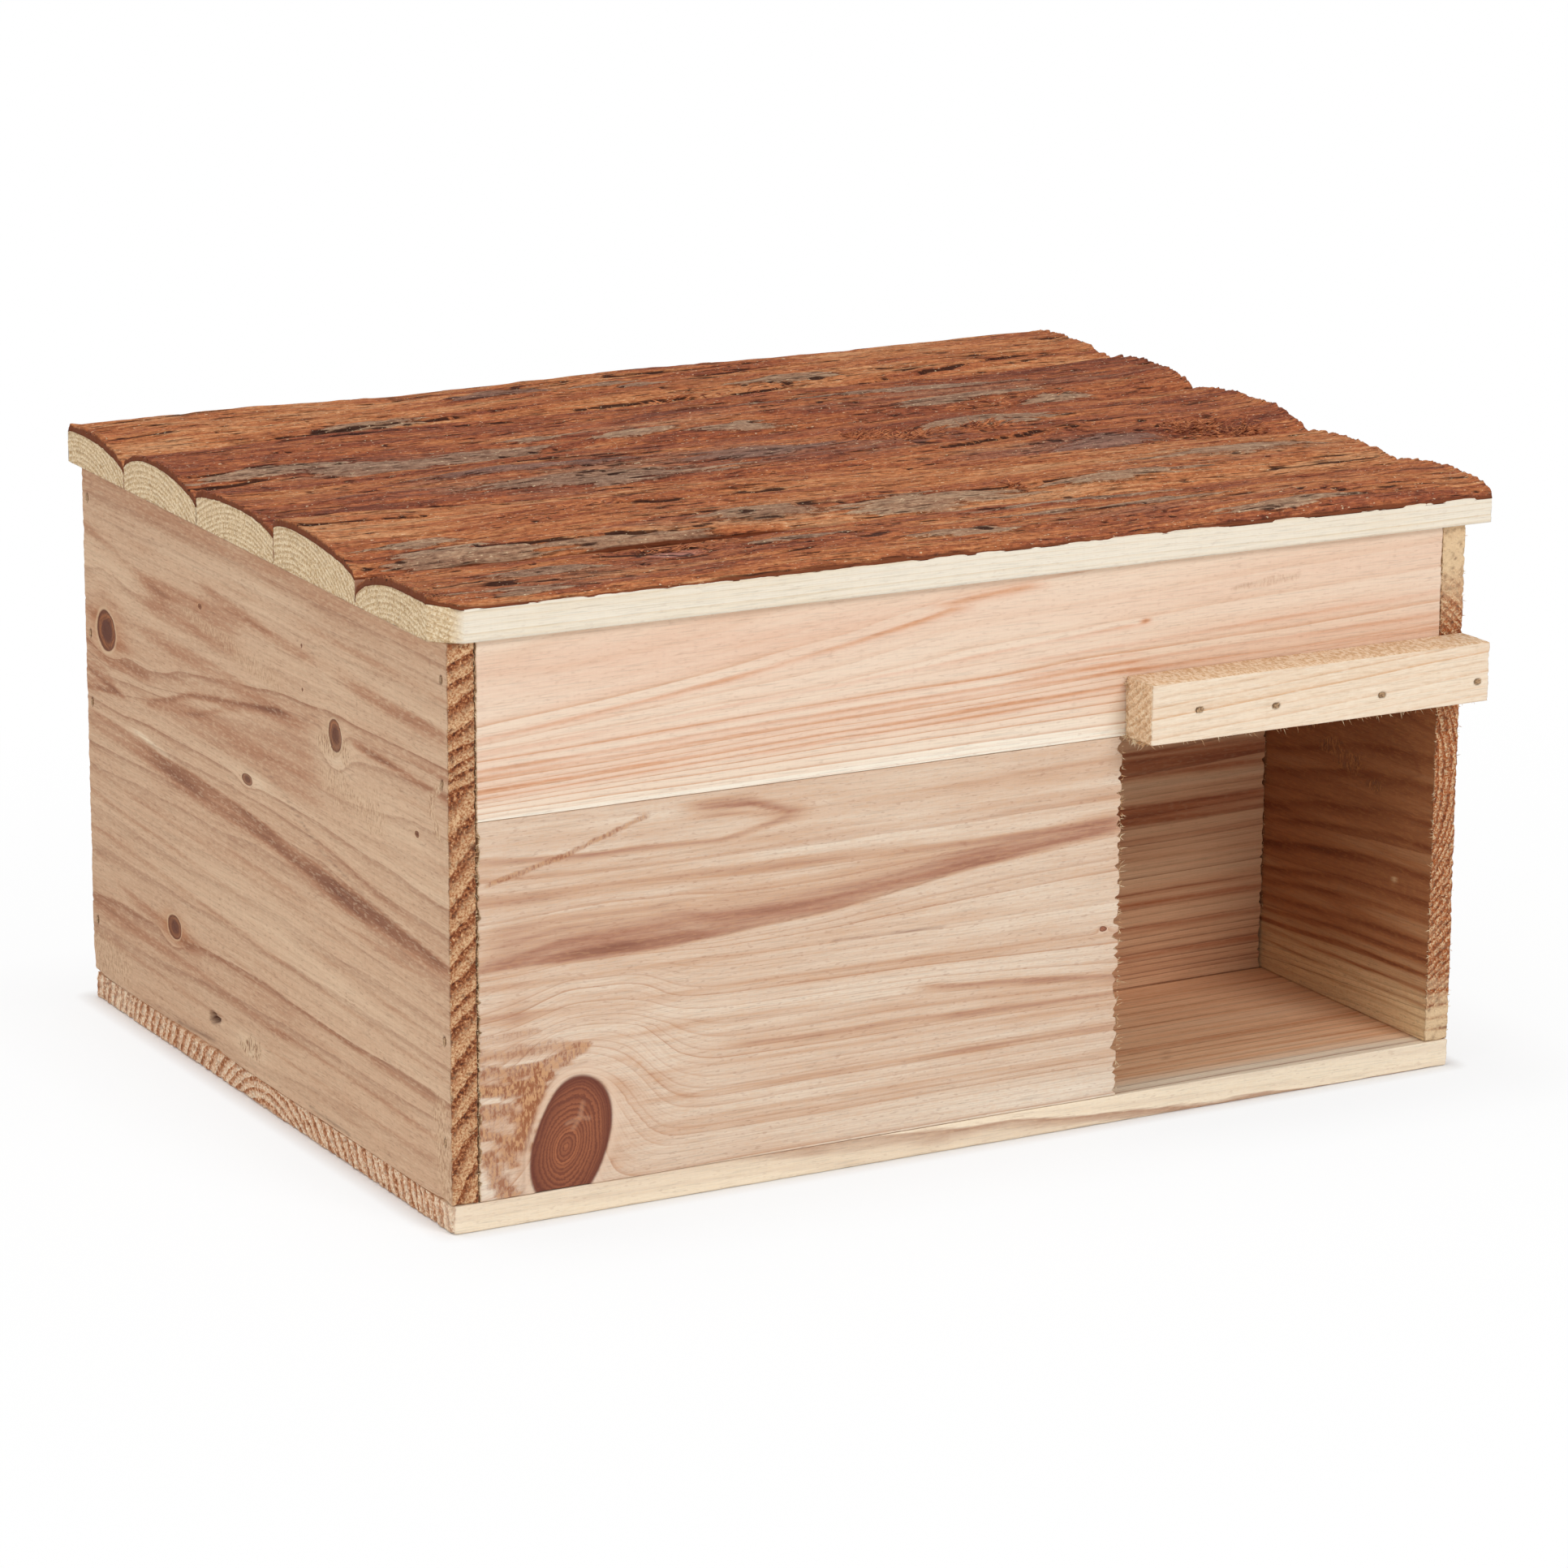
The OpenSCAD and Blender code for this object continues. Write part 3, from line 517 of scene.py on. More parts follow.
sideBrads = {-1: [31, 66, 153, 188], 1: [153, 188]}
backBrads = [31, 115, 141, 192.1]
leftWall = {
    **plainWood, "node": "left_side_wall", "along": 1, "slot": "brown_heartwood", "pith": (-46, -71),
    "cone": 0.03, "rings": (4.5, 9.5), "seed": 5, "drop": 4 / 310, "stepAlong": 3.7, "stepAcross": 0.8,
    "stepThrough": 1.5, "stepKnot": 1.35,
    "tones": [
        (0.0, "#f2dcbe"), (0.3, "#e2c3a3"), (0.5, "#d3ae8e"), (0.66, "#b98868"), (0.82, "#97664b"),
        (1.0, "#734534")],
    "lateWood": "#9a674a", "fuzz": 0.26, "fuzzAndHighlightColour": "#e6cbaa", "pores": 0.3, "poreAndShadeColour": "#8f644a",
    "threads": 0.28, "ringShare": 0.8, "fineShare": 0.26, "relief": 0.18, "wobble": 0.3, "saw": 0.16,
    "bandTone": 0.22, "swirl": 1.3, "jag": (0.8, 0.8), "fineRings": 4.2, "tornColour": "#cfa884",
    "knot": "#ab6c42", "knotDark": "#563026", "seam": "#dcbf9c", "halo": "#b97a4e", "markAndShadeColour": "#5f3626",
    "knotRings": 0.6, "knotCore": 0.85, "endHollowShade": "#4a200e", "endDark": "#8f4c26", "endMid": "#bd8256",
    "endPale": "#e8c094", "endBand": 1.0,
    # lines that the grain follows: height at which a straight-grained board would have them, then the line
    "guides": [
        (34, [(-155, 31), (155, 37)]), (48, [(-155, 41.5), (155, 55)]), (60, [(-155, 53), (155, 67.8)]),
        (73, [(-155, 64.7), (155, 81)]),
        (103, [(-157, 91), (-96, 98.4), (-54, 106.8), (10, 110), (155, 113)]),
        (125, [(-155, 117), (-20, 123), (96, 126.8), (121, 123.7), (155, 125)]),
        (148, [(-155, 152), (-22, 150), (56, 140), (96, 134), (155, 138)]), (175, [(-155, 168), (155, 180)])],
    # knots: place along, place up, half length, half height, darkness, halo
    "knots": [
        (134.5, 145.1, 8.4, 7.6, 1.0, 0.8), (-66.6, 150.6, 5.0, 5.4, 0.85, 0.2),
        (7.9, 118.2, 4.4, 2.0, 0.8, 0.5), (-130.5, 131.7, 1.6, 1.2, 0.85, 0.3),
        (76.5, 46.8, 6.0, 4.2, 0.9, 1.0), (46.9, 172.1, 1.7, 1.1, 0.75, 0.9),
        (-40.3, 176.3, 0.9, 0.8, 0.8, 0.0), (-40.5, 160.9, 0.9, 0.8, 0.8, 0.0)],
    # bands: the line above, the line below, how soft each is, and the tone between them
    "bands": [
        ([(-157, 93), (-96, 98.8), (-20, 104), (10, 107.2), (155, 113)],
         [(-157, 86), (-60, 92), (-11, 98), (60, 101), (155, 106)], 0.8, 6.0, 0.38),
        ([(-18, 104.6), (10, 107), (95, 111)], [(-18, 99.5), (10, 100), (95, 103)], 1.2, 4.0, 0.3),
        ([(-157, 91.5), (-96, 97.6), (-14, 103)], [(-157, 87.5), (-60, 93.5), (-14, 98.5)], 1.0, 3.0, 0.36),
        ([(-50, 151), (-22, 150), (56, 138.6), (96, 127)], [(-50, 121), (20, 123.5), (96, 126.4)], 0.7, 7.0,
         0.22),
        ([(121, 123.9), (138, 131), (155, 133.5)], [(121, 123.4), (155, 119)], 0.7, 1.2, 0.26),
        ([(-34, 150), (30, 153.6), (104, 156)], [(-34, 145), (30, 148), (104, 150)], 2.0, 4.0, 0.3),
        ([(10, 175), (100, 176)], [(10, 160), (100, 160)], 6.0, 6.0, 0.38),
        ([(-157, 171.4), (-75, 173)], [(-157, 166), (-75, 168.6)], 1.6, 3.0, 0.42)],
    # streaks: points along the line, spread above and below it, strength
    "streaks": [
        ([(-157, 99), (-100, 104), (-53.6, 108.6)], 2.0, 3.0, 0.2), ([(82, 111), (106, 113)], 0.8, 1.0, -0.9),
        ([(-157, 149), (-83, 152)], 1.0, 1.8, 0.6), ([(-43, 173), (0, 176), (40, 180)], 1.6, 2.6, 0.4),
        ([(80, 170), (155, 182)], 1.2, 3.6, 0.34), ([(5, 184), (155, 184)], 1.0, 4.0, 0.2),
        ([(100, 136), (130, 134), (155, 139)], 2.0, 2.5, 0.4),
        ([(-157, 181), (-100, 183), (20, 187)], 1.0, 2.4, 0.28),
        ([(-20, 149.5), (56, 138.4), (94, 127.5)], 0.6, 1.6, 0.4),
        ([(20, 141), (60, 130), (94, 126)], 0.8, 1.4, 0.26), ([(123, 124), (155, 128)], 0.6, 1.4, 0.4),
        ([(123, 123.4), (155, 120)], 1.4, 0.6, 0.34),
        ([(-150, 142), (-144, 134), (-157, 124)], 2.2, 2.2, 0.3), ([(-155, 64.7), (155, 81)], 0.5, 1.5, 0.3),
        ([(-155, 53), (155, 67.8)], 0.5, 1.6, 0.32), ([(-155, 41.5), (155, 55)], 0.5, 1.5, 0.18),
        ([(58, 43), (119, 50)], 1.0, 3.0, 0.36), ([(-155, 43.5), (60, 46)], 0.5, 0.9, 0.34),
        ([(-20, 32.5), (60, 36), (155, 39)], 0.9, 3.8, 0.3), ([(-155, 31), (-20, 33)], 0.6, 1.3, 0.25),
        ([(-155, 22), (155, 26)], 0.5, 1.2, 0.2), ([(-155, 75), (155, 90)], 0.5, 1.4, 0.18),
        ([(-155, 83), (20, 89)], 0.5, 1.4, 0.22)],
    "blobs": [
        (-68, 147, 12, 9, -0.62), (8.5, 19.8, 9, 4, -0.9), (-105, 133, 34, 9, -0.16),
        (4, 118.6, 12, 2.6, -0.6), (128, 142, 14, 2.4, 0.5), (146, 149, 8, 2, 0.5), (70, 45, 10, 3, 0.3),
        (128, 148, 18, 12, 0.16), (-40, 62, 110, 14, -0.16), (0, 187, 70, 6, -0.3), (120, 97, 30, 7, -0.14)],
    # marks: thin dark cracks and scratches, half width and darkness
    "marks": [
        ([(-41, 12.6), (-60, 11.8), (-75, 11.4)], 0.5, 0.7), ([(41, 13.2), (60, 12.4), (75, 11.6)], 0.6, 0.7),
        ([(129, 141), (134, 145), (140, 148)], 0.4, 0.95), ([(134, 145), (131, 149.5)], 0.35, 0.9),
        ([(134, 145), (139, 141)], 0.35, 0.9), ([(74, 45), (79, 49)], 0.45, 0.8),
        ([(-69, 149), (-64, 152)], 0.35, 0.8), ([(-67, 153), (-65.5, 148)], 0.35, 0.8),
        ([(-20, 121.5), (-8, 126)], 0.35, 0.5),
        ([(-156.8, 91.2), (-95.7, 98.8), (-53.6, 107.2), (-20, 121.5)], 0.4, 0.5)],
    "torn": [
        ([(3, 20), (14, 19.6)], 3.5, 0.9), ([(-150, 12), (-147, 40)], 6, 0.5),
        ([(125, 20), (152, 19)], 8, 0.35), ([(-74, 147), (-58, 146)], 5, 0.6),
        ([(-100, 131), (-60, 134)], 6, 0.35), ([(-148, 134), (-140, 146), (-150, 152)], 1.6, 0.7),
        ([(-20, 158), (60, 168)], 3, 0.3)],
    "zones": [(-60, 60, 200, 40, 0.2)], "hole": (41.6, 21.9, 3.6, 2.1),
    "heads": [(-200, -150, z) for z in sideBrads[-1]] + [(-200, 150, z) for z in backBrads],
    # chips: a place on an arris, how far they reach along each axis, how deep
    "chips": [
        ((-200, 58, 10), (4, 24, 4), 1.6), ((-200, -148, 10), (4, 9, 4), 1.9),
        ((-200, 155, 10), (6, 9, 7), 3.2), ((-200, 40, 10), (4, 6, 4), 1.2)],
    "arris": 0.5, "headHalf": (9, 0.75, 1.1), "endTorn": 0.4
}

rightWall = {
    **leftWall, "node": "right_side_wall", "pith": (110, 140), "cone": -0.05, "seed": 9, "rings": (1.6, 3.6),
    "stepAlong": 3.0, "stepAcross": 0.85, "guides": [], "bands": [], "swirl": 0.5, "bandTone": 0.2,
    "tones": [(0.0, "#f2d0a0"), (0.5, "#b1744a"), (0.75, "#8a4d2b"), (1.0, "#62331e")], "fineRings": 3.3,
    "lateWood": "#7b4227", "ringShare": 0.5, "fuzz": 0.22, "fuzzAndHighlightColour": "#c98a55", "markAndShadeColour": "#4a2414",
    "tornColour": "#8f5732", "knots": [(60, 70, 6, 4, 0.8, 0.5), (110, 150, 4, 4, 0.7, 0.4)],
    "streaks": [
        ([(-155, 91.7), (-120, 88.5), (-85, 83), (-50, 75), (155, 40)], 1.0, 3.0, 0.6),
        ([(-155, 83), (-120, 80), (-85, 75.5), (-50, 69)], 0.8, 2.0, 0.5),
        ([(-155, 71.5), (-120, 70), (-85, 66), (-50, 60), (155, 30)], 1.0, 2.6, 0.7),
        ([(-155, 62), (-100, 58.5), (-50, 50)], 0.8, 2.2, 0.6),
        ([(-155, 55.5), (-100, 52), (-50, 45)], 0.9, 1.6, 0.5),
        ([(-155, 47), (-100, 44), (-50, 39)], 0.8, 1.4, 0.5),
        ([(-155, 41), (-100, 38.5), (-50, 34)], 0.8, 1.4, 0.7),
        ([(-155, 35), (-100, 33), (-50, 29.5), (155, 25)], 0.7, 1.2, 0.9),
        ([(-155, 29), (-50, 26)], 0.7, 0.7, 0.8), ([(-155, 23.5), (-50, 21.5)], 0.7, 0.7, 0.8),
        ([(-155, 18.5), (-50, 17)], 0.7, 0.7, 0.8), ([(-155, 14), (-50, 13.5)], 0.6, 0.6, 0.7),
        ([(-155, 105), (-110, 101), (-50, 88)], 1.0, 3.0, 0.5),
        ([(-155, 116), (-110, 111), (-50, 96)], 1.0, 2.4, 0.4), ([(-155, 12), (155, 12)], 19.5, 6.0, -1.3),
        ([(-155, 190), (155, 195)], 16.0, 17.0, -1.3)],
    "blobs": [(-80, 130, 70, 26, 0.5)], "zones": [], "marks": [([(-134, 58), (-132, 66)], 0.35, -1.0)],
    "torn": [
        ([(-56, 136), (-70, 122)], 12, 1.0), ([(-86, 106), (-106, 103)], 4, 0.7),
        ([(-116, 98), (-121, 97)], 2, 0.8)],
    "hole": None,
    "heads": [(200, -150, z) for z in sideBrads[1]] + [(200, 150, z) for z in backBrads]
    + [(200, -42, z) for z in (39.1, 97.2, 155.3)], "chips": [((200, 60, 10), (4, 10, 4), 1.2)],
    "endHollowShade": "#5a2810", "endDark": "#964a1f", "endMid": "#b36531", "endPale": "#e9c9a0", "endTone": 1.0,
    "endBand": 0.9, "endTorn": 0.6
}

upperFront = {
    **plainWood, "node": "front_upper_board", "pith": (197, -97), "rings": (0.9, 1.8), "seed": 3,
    "stepAcross": 0.62, "stepAlong": 3.4, "wander": 0.5,
    "tones": [
        (0.0, "#fbf1df"), (0.3, "#f5e2cc"), (0.5, "#f1d8c1"), (0.62, "#ecc9b0"), (0.8, "#dba27d"),
        (1.0, "#b47a57")],
    "lateWood": "#d39a72", "fuzz": 0.1, "pores": 0.16, "cloud": 0.14, "threads": 0.2, "ringShare": 0.85,
    "wobble": 0.12, "fineShare": 0.16, "bandTone": 0.1,
    "guides": [
        (143, [(-190, 141.8), (190, 145)]), (150, [(-190, 148), (60, 157), (190, 160)]),
        (160.5, [(-190, 160.5), (60, 169), (190, 174)]),
        (166, [(-190, 163), (-60, 171), (60, 179), (190, 184)]),
        (174, [(-189, 168), (-148, 172), (-98.5, 178), (-51, 185), (-12, 192.4), (190, 206)])],
    "streaks": [
        ([(-190, 138), (-60, 140), (60, 143), (190, 146)], 5.5, 9.0, -1.2),
        ([(-190, 141.8), (60, 144), (190, 146)], 0.4, 1.0, 0.6),
        ([(-190, 152), (60, 158), (190, 164)], 8.0, 7.0, 0.14),
        ([(-12, 194.4), (4, 196), (18, 197)], 1.4, 1.8, 0.75),
        ([(-189, 168), (-148, 172), (-98.5, 178), (-51, 185), (-12, 192.4)], 0.5, 1.6, 0.55),
        ([(-190, 163), (-60, 171), (60, 179)], 0.5, 1.5, 0.4), ([(-190, 160.5), (60, 169)], 0.4, 1.2, 0.45),
        ([(-190, 157.5), (60, 166)], 0.4, 1.2, 0.55), ([(-190, 155), (60, 163.5)], 0.4, 1.0, 0.4),
        ([(-190, 150.5), (60, 158.5)], 0.4, 1.1, 0.5), ([(-190, 148), (60, 156)], 0.4, 1.0, 0.4),
        ([(20, 171), (190, 178)], 0.4, 1.2, 0.3), ([(20, 166), (190, 169.5)], 0.4, 1.4, 0.35),
        ([(20, 163), (190, 164.6)], 0.4, 1.2, 0.35)],
    "blobs": [(66, 180, 1.0, 0.8, 0.9), (-50, 190, 150, 9, 0.26)],
    "marks": [([(103, 187.5), (112, 189), (120, 188.2), (129, 190)], 0.5, 0.3)],
    "zones": [(0, 190, 220, 12, -0.6), (0, 152, 220, 9, 0.3)],
    "torn": [([(104, 187.5), (128, 189.5)], 1.4, 0.2)]
}

lowerFront = {
    **plainWood, "node": "front_lower_board", "pith": (131, -110), "rings": (1.4, 3.4), "seed": 12,
    "stepAcross": 0.62, "stepAlong": 2.6, "wander": 0.8,
    "tones": [(0.0, "#f6e9d6"), (0.42, "#ead6c0"), (0.6, "#d8b599"), (0.8, "#b3826a"), (1.0, "#855342")],
    "lateWood": "#b9825f", "fuzz": 0.18, "pores": 0.25, "cloud": 0.5, "threads": 0.34, "ringShare": 0.62,
    "fineShare": 0.3, "wobble": 0.25, "knot": "#b06c49", "knotDark": "#65342a", "halo": "#cf8f62",
    "markAndShadeColour": "#7d4630", "knotRings": 0.75, "seam": "#e8cdb4", "tornColour": "#9a572e",
    "fuzzAndHighlightColour": "#d9a97c",
    "knotCracks": [
        ([(-155, 30.5), (-152.5, 34), (-151.5, 39)], 0.6), ([(-157.5, 32.5), (-152.5, 34), (-149, 33)], 0.5)],
    "knots": [(-155.4, 26.0, 14.6, 22.2, 1.0, 0.3, 0.2), (51.4, 71.6, 1.5, 1.0, 0.9, 0.4)],
    "guides": [
        (36, [(-190, 36), (58, 36)]), (50, [(-190, 52), (58, 49)]),
        (57, [(-190, 63), (-18, 60.8), (60, 54.3)]), (72, [(-190, 73), (58, 70)]),
        (81, [(-190, 84), (-57.5, 82), (-12, 81), (58, 81)]),
        (95, [(-190, 88.2), (-120, 88.8), (-60, 92.4), (0, 100.8), (58, 105)]),
        (111, [(-190, 113.6), (-73, 111.3), (0, 110.3), (58, 112)]),
        (128, [(-190, 128), (-130, 124), (-73, 127), (58, 130)])],
    "bands": [
        ([(-190, 105), (-60, 104), (0, 108.6), (58, 112)],
         [(-190, 88.2), (-120, 88.8), (-60, 92.4), (0, 100.8), (58, 105)], 9.0, 2.0, 0.54)],
    "streaks": [
        ([(-190, 90), (-120, 91), (-60, 95), (0, 103), (58, 106.4)], 2.4, 1.6, 0.2),
        ([(-190, 113.6), (-73, 111.3), (0, 109.3), (58, 110)], 1.6, 2.6, 0.34),
        ([(-190, 127), (-150, 124.6), (-100, 123.4), (-76, 127.4)], 0.7, 1.6, 0.5),
        ([(-107, 134.5), (-88, 134), (-74, 129.4)], 2.6, 0.9, 0.6),
        ([(-107, 132), (-90, 131), (-76, 128.6)], 1.4, 1.4, 0.35),
        ([(-72, 129), (0, 131), (58, 133)], 0.6, 1.2, 0.16), ([(-60, 120), (58, 122)], 0.6, 1.6, 0.18),
        ([(-190, 73), (-40, 71), (58, 70)], 1.0, 2.6, 0.26), ([(-190, 83.6), (-60, 82.4)], 0.6, 1.6, 0.22),
        ([(-18, 60.8), (60, 54.3)], 0.6, 2.2, 0.55), ([(-90, 51), (58, 48)], 0.8, 1.8, 0.4),
        ([(-120, 45), (58, 44)], 0.8, 1.2, 0.24), ([(-130, 36), (58, 36)], 0.6, 1.4, 0.34),
        ([(-190, 60), (-60, 61)], 0.7, 1.6, 0.26), ([(-120, 27), (58, 27)], 0.6, 1.4, 0.24),
        ([(-190, 51), (-174, 52)], 1.6, 2.2, 0.6), ([(-134, 52), (-120, 40), (-110, 34)], 1.6, 1.6, 0.25)],
    "blobs": [
        (-186, 14, 6, 6, -1.0), (40, 13.5, 60, 5, -0.7), (-20, 118, 60, 8, -0.16), (-20, 63, 80, 5, -0.16),
        (-172, 40, 6, 9, 0.4), (-184, 43, 6, 3, -0.3), (-176, 70, 6, 10, 0.2)],
    "marks": [
        ([(-57.5, 82), (-12, 81)], 0.4, 0.7), ([(-150, 37), (-149.2, 35.6)], 0.7, 0.9),
        ([(-174, 10), (-173.4, 24), (-168, 42), (-160, 51.5), (-150, 53)], 0.5, 0.35),
        ([(-177, 12), (-176, 24)], 0.5, 0.3), ([(-116, 89), (-60, 92.6), (0, 101)], 0.35, 0.45),
        ([(-187, 49), (-168, 62)], 0.4, 0.3)],
    "torn": [
        ([(-186, 118.6), (-160, 124.5), (-127.6, 134.8)], 0.9, 0.55), ([(-190, 60.5), (-158, 60)], 2.0, 0.35),
        ([(-190, 65.5), (-168, 66)], 1.4, 0.25),
        ([(-190, 54.5), (-178.4, 53.7), (-166, 53.4), (-150.6, 58)], 2.8, 0.7),
        ([(-190, 48), (-178, 47.8), (-169, 46.1)], 3.0, 0.95),
        ([(-167, 51), (-171, 42), (-174, 28)], 4.6, 0.95),
        ([(-190, 41.4), (-180, 40.5), (-176, 37.5)], 2.8, 0.7),
        ([(-190, 34.4), (-181.3, 30.5), (-178, 23)], 2.8, 0.8),
        ([(-186.5, 24), (-182, 17), (-178, 10)], 3.6, 0.75), ([(-184, 34), (-180, 26)], 6, 0.3)],
    "poreAndShadeColour": "#9c5f3c", "jag": (1.0, 2.2), "endHollowShade": "#6b3c24"
}

partitionLines = [
    (98, 96, 3.5, 4.0, 0.6), (101, 100, 0.5, 1.0, 0.4), (92, 91, 0.5, 1.4, 0.4), (88, 87.5, 1.6, 1.6, -0.4),
    (77, 76.5, 3.2, 3.0, 0.62), (80, 79.5, 0.4, 0.9, 0.5), (74, 73.6, 0.5, 0.9, 0.5), (68, 67, 1.2, 2.0, 0.3),
    (60, 59.5, 0.5, 0.8, 0.5), (54, 53, 3.5, 3.5, -0.3), (47, 46, 0.6, 1.0, 0.5), (43.5, 42, 1.2, 1.8, 0.6),
    (33, 33, 0.6, 1.0, 0.4), (22.5, 22, 0.5, 1.0, 0.5), (116, 115, 1.0, 3.0, 0.2), (124, 122, 0.8, 1.6, 0.25),
    (109, 108, 2.0, 2.0, -0.2), (132, 130, 1.0, 2.4, 0.3), (160, 158, 12, 12, -0.2)
]
partition = {
    **plainWood, "node": "partition_board", "slot": "brown_heartwood", "pith": (120, 20), "cone": 0.01,
    "rings": (1.2, 2.8), "seed": 21, "stepAcross": 0.9, "stepAlong": 3.0, "wander": 0.6,
    "tones": [(0.0, "#f8dcb6"), (0.5, "#e2b28b"), (0.75, "#ba7650"), (1.0, "#80452f")], "lateWood": "#85492f",
    "fuzz": 0.16, "cloud": 0.5, "threads": 0.5, "fuzzAndHighlightColour": "#dcb48c", "wobble": 0.2,
    "streaks": straight(-70, 190, partitionLines), "jag": (1.0, 1.6), "endDark": "#7b4a2e",
    "endMid": "#b88a62", "endPale": "#ddb98c"
}

floorBoardLines = [
    (-152, -152, 9.0, 12.0, -1.25), (-131, -131, 0.6, 0.8, 0.55), (-138, -137, 0.6, 0.9, 0.5),
    (-145, -144, 0.5, 0.8, 0.4), (-112, -113, 1.2, 1.4, 0.4), (-121, -122, 0.6, 1.0, 0.35),
    (-103, -102, 0.6, 1.2, 0.35), (-89, -89.5, 0.8, 0.8, 0.4), (-74, -76, 0.6, 1.2, 0.4),
    (-59, -60, 0.7, 0.9, 0.4), (130, 120, 24.0, 14.0, -0.7)
]
floorBoard = {
    **plainWood, "node": "floor_board", "across": 1, "pith": (-5, -38), "rings": (3.0, 6.5), "seed": 31,
    "cone": 0.01, "stepThrough": 0.9, "stepAcross": 1.4, "stepAlong": 3.6,
    "tones": [(0.0, "#fdecd2"), (0.5, "#fbc89c"), (0.75, "#d89468"), (1.0, "#9b5a3a")], "lateWood": "#a3694a",
    "poreAndShadeColour": "#b07f58", "fuzzAndHighlightColour": "#efd2ac", "threads": 0.5,
    "streaks": straight(-200, 200, floorBoardLines), "marks": [([(96, -128), (101, -120)], 0.6, 0.9)],
    "chips": [
        ((-200, 58, 10), (4, 26, 3), 1.8), ((-200, 118, 10), (4, 10, 3), 1.2),
        ((-200, -150, 10), (3, 5, 3), 1.0), ((0, -155, 0), (400, 2, 2), 0.9),
        ((-200, 0, 0), (2, 400, 2), 0.9)],
    "endHollowShade": "#824a26", "endDark": "#b8754a", "endMid": "#e0b48e", "endPale": "#faead0", "endTone": 0.3,
    "jag": (0.6, 0.6), "endBand": 1.0, "endTorn": 0.5
}

upperBack = {
    **upperFront, "node": "back_upper_board", "pith": (190, 190), "seed": 41, "guides": [], "marks": [],
    "stepAcross": 1.2, "torn": [], "zones": [], "blobs": [],
    "streaks": [([(-190, 132), (190, 130)], 5.0, 5.0, -0.7), ([(-190, 160), (190, 172)], 2.0, 3.0, 0.35)],
    "knots": [(-60, 165, 7, 6, 0.9, 0.5), (95, 150, 4, 3.4, 0.8, 0.5)]
}
lowerBack = {
    **lowerFront, "node": "back_lower_board", "pith": (40, 200), "seed": 47, "jag": (0.3, 0.3), "blobs": [],
    "stepAcross": 1.2, "guides": [], "marks": [], "torn": [], "stepAlong": 3.2,
    "streaks": [
        ([(-190, 88), (0, 96), (190, 92)], 2.0, 4.0, 0.45), ([(-190, 50), (190, 58)], 1.4, 3.0, 0.35)],
    "knots": [(70, 70, 9, 8, 0.95, 0.6), (-120, 40, 5, 4, 0.8, 0.5)]
}

lintel = {
    **plainWood, "node": "lintel_batten", "slot": "pale_sapwood", "pith": (215, -120), "cone": 0.05,
    "seed": 51, "rings": (2.0, 3.2), "stepAlong": 2.0, "stepAcross": 0.6, "stepThrough": 0.8,
    "tones": [(0.0, "#faedd6"), (0.5, "#f3dfc6"), (0.8, "#e2bb94"), (1.0, "#cf9f78")], "lateWood": "#dba778",
    "fuzz": 0.22, "pores": 0.15, "cloud": 0.25, "wobble": 0.2, "fuzzAndHighlightColour": "#fff3e0",
    "markAndShadeColour": "#6f5a3c", "endHollowShade": "#a3764a", "endDark": "#c89c70", "endMid": "#e4c29c",
    "endPale": "#f6e4c6", "jag": (0.6, 0.6), "endTorn": 0.5, "sawnTop": 0.5, "tornColour": "#dcb98e",
    "poreAndShadeColour": "#b68c60",
    "heads": [(78, -172, 150.75), (109.6, -172, 148.6), (154.05, -172, 147.3), (195, -172, 147.5)],
    "headHalf": (1.1, 9, 0.75)
}

cleatWood = {
    **upperFront, "along": 1, "body": "roof", "streaks": [], "guides": [], "rings": (2.0, 4.0),
    "pith": (230, 30), "stepAcross": 1.6, "marks": [], "zones": [], "torn": [], "blobs": [], "seed": 100,
    "apart": 177, "half": 10, "reach": (-300.5, -14.5), "height": (-11.9, 0.1)
}


def grainHeight(l, a, guides):
    # The height that each point would have if the guide lines ran straight: between two guides it goes evenly
    # from the one's height to the other's, beyond the outermost it keeps its distance.
    if not guides:
        return a
    drawn = [np.interp(l, *np.array(line, float).T) for height, line in guides]
    bent = guides[0][0] + np.minimum(a - drawn[0], 0) + np.maximum(a - drawn[-1], 0)
    for (low, lineLow), (high, lineHigh), under, over in zip(guides, guides[1:], drawn, drawn[1:]):
        bent = bent + (high - low) * np.clip((a - under) / (over - under), 0, 1)
    return bent


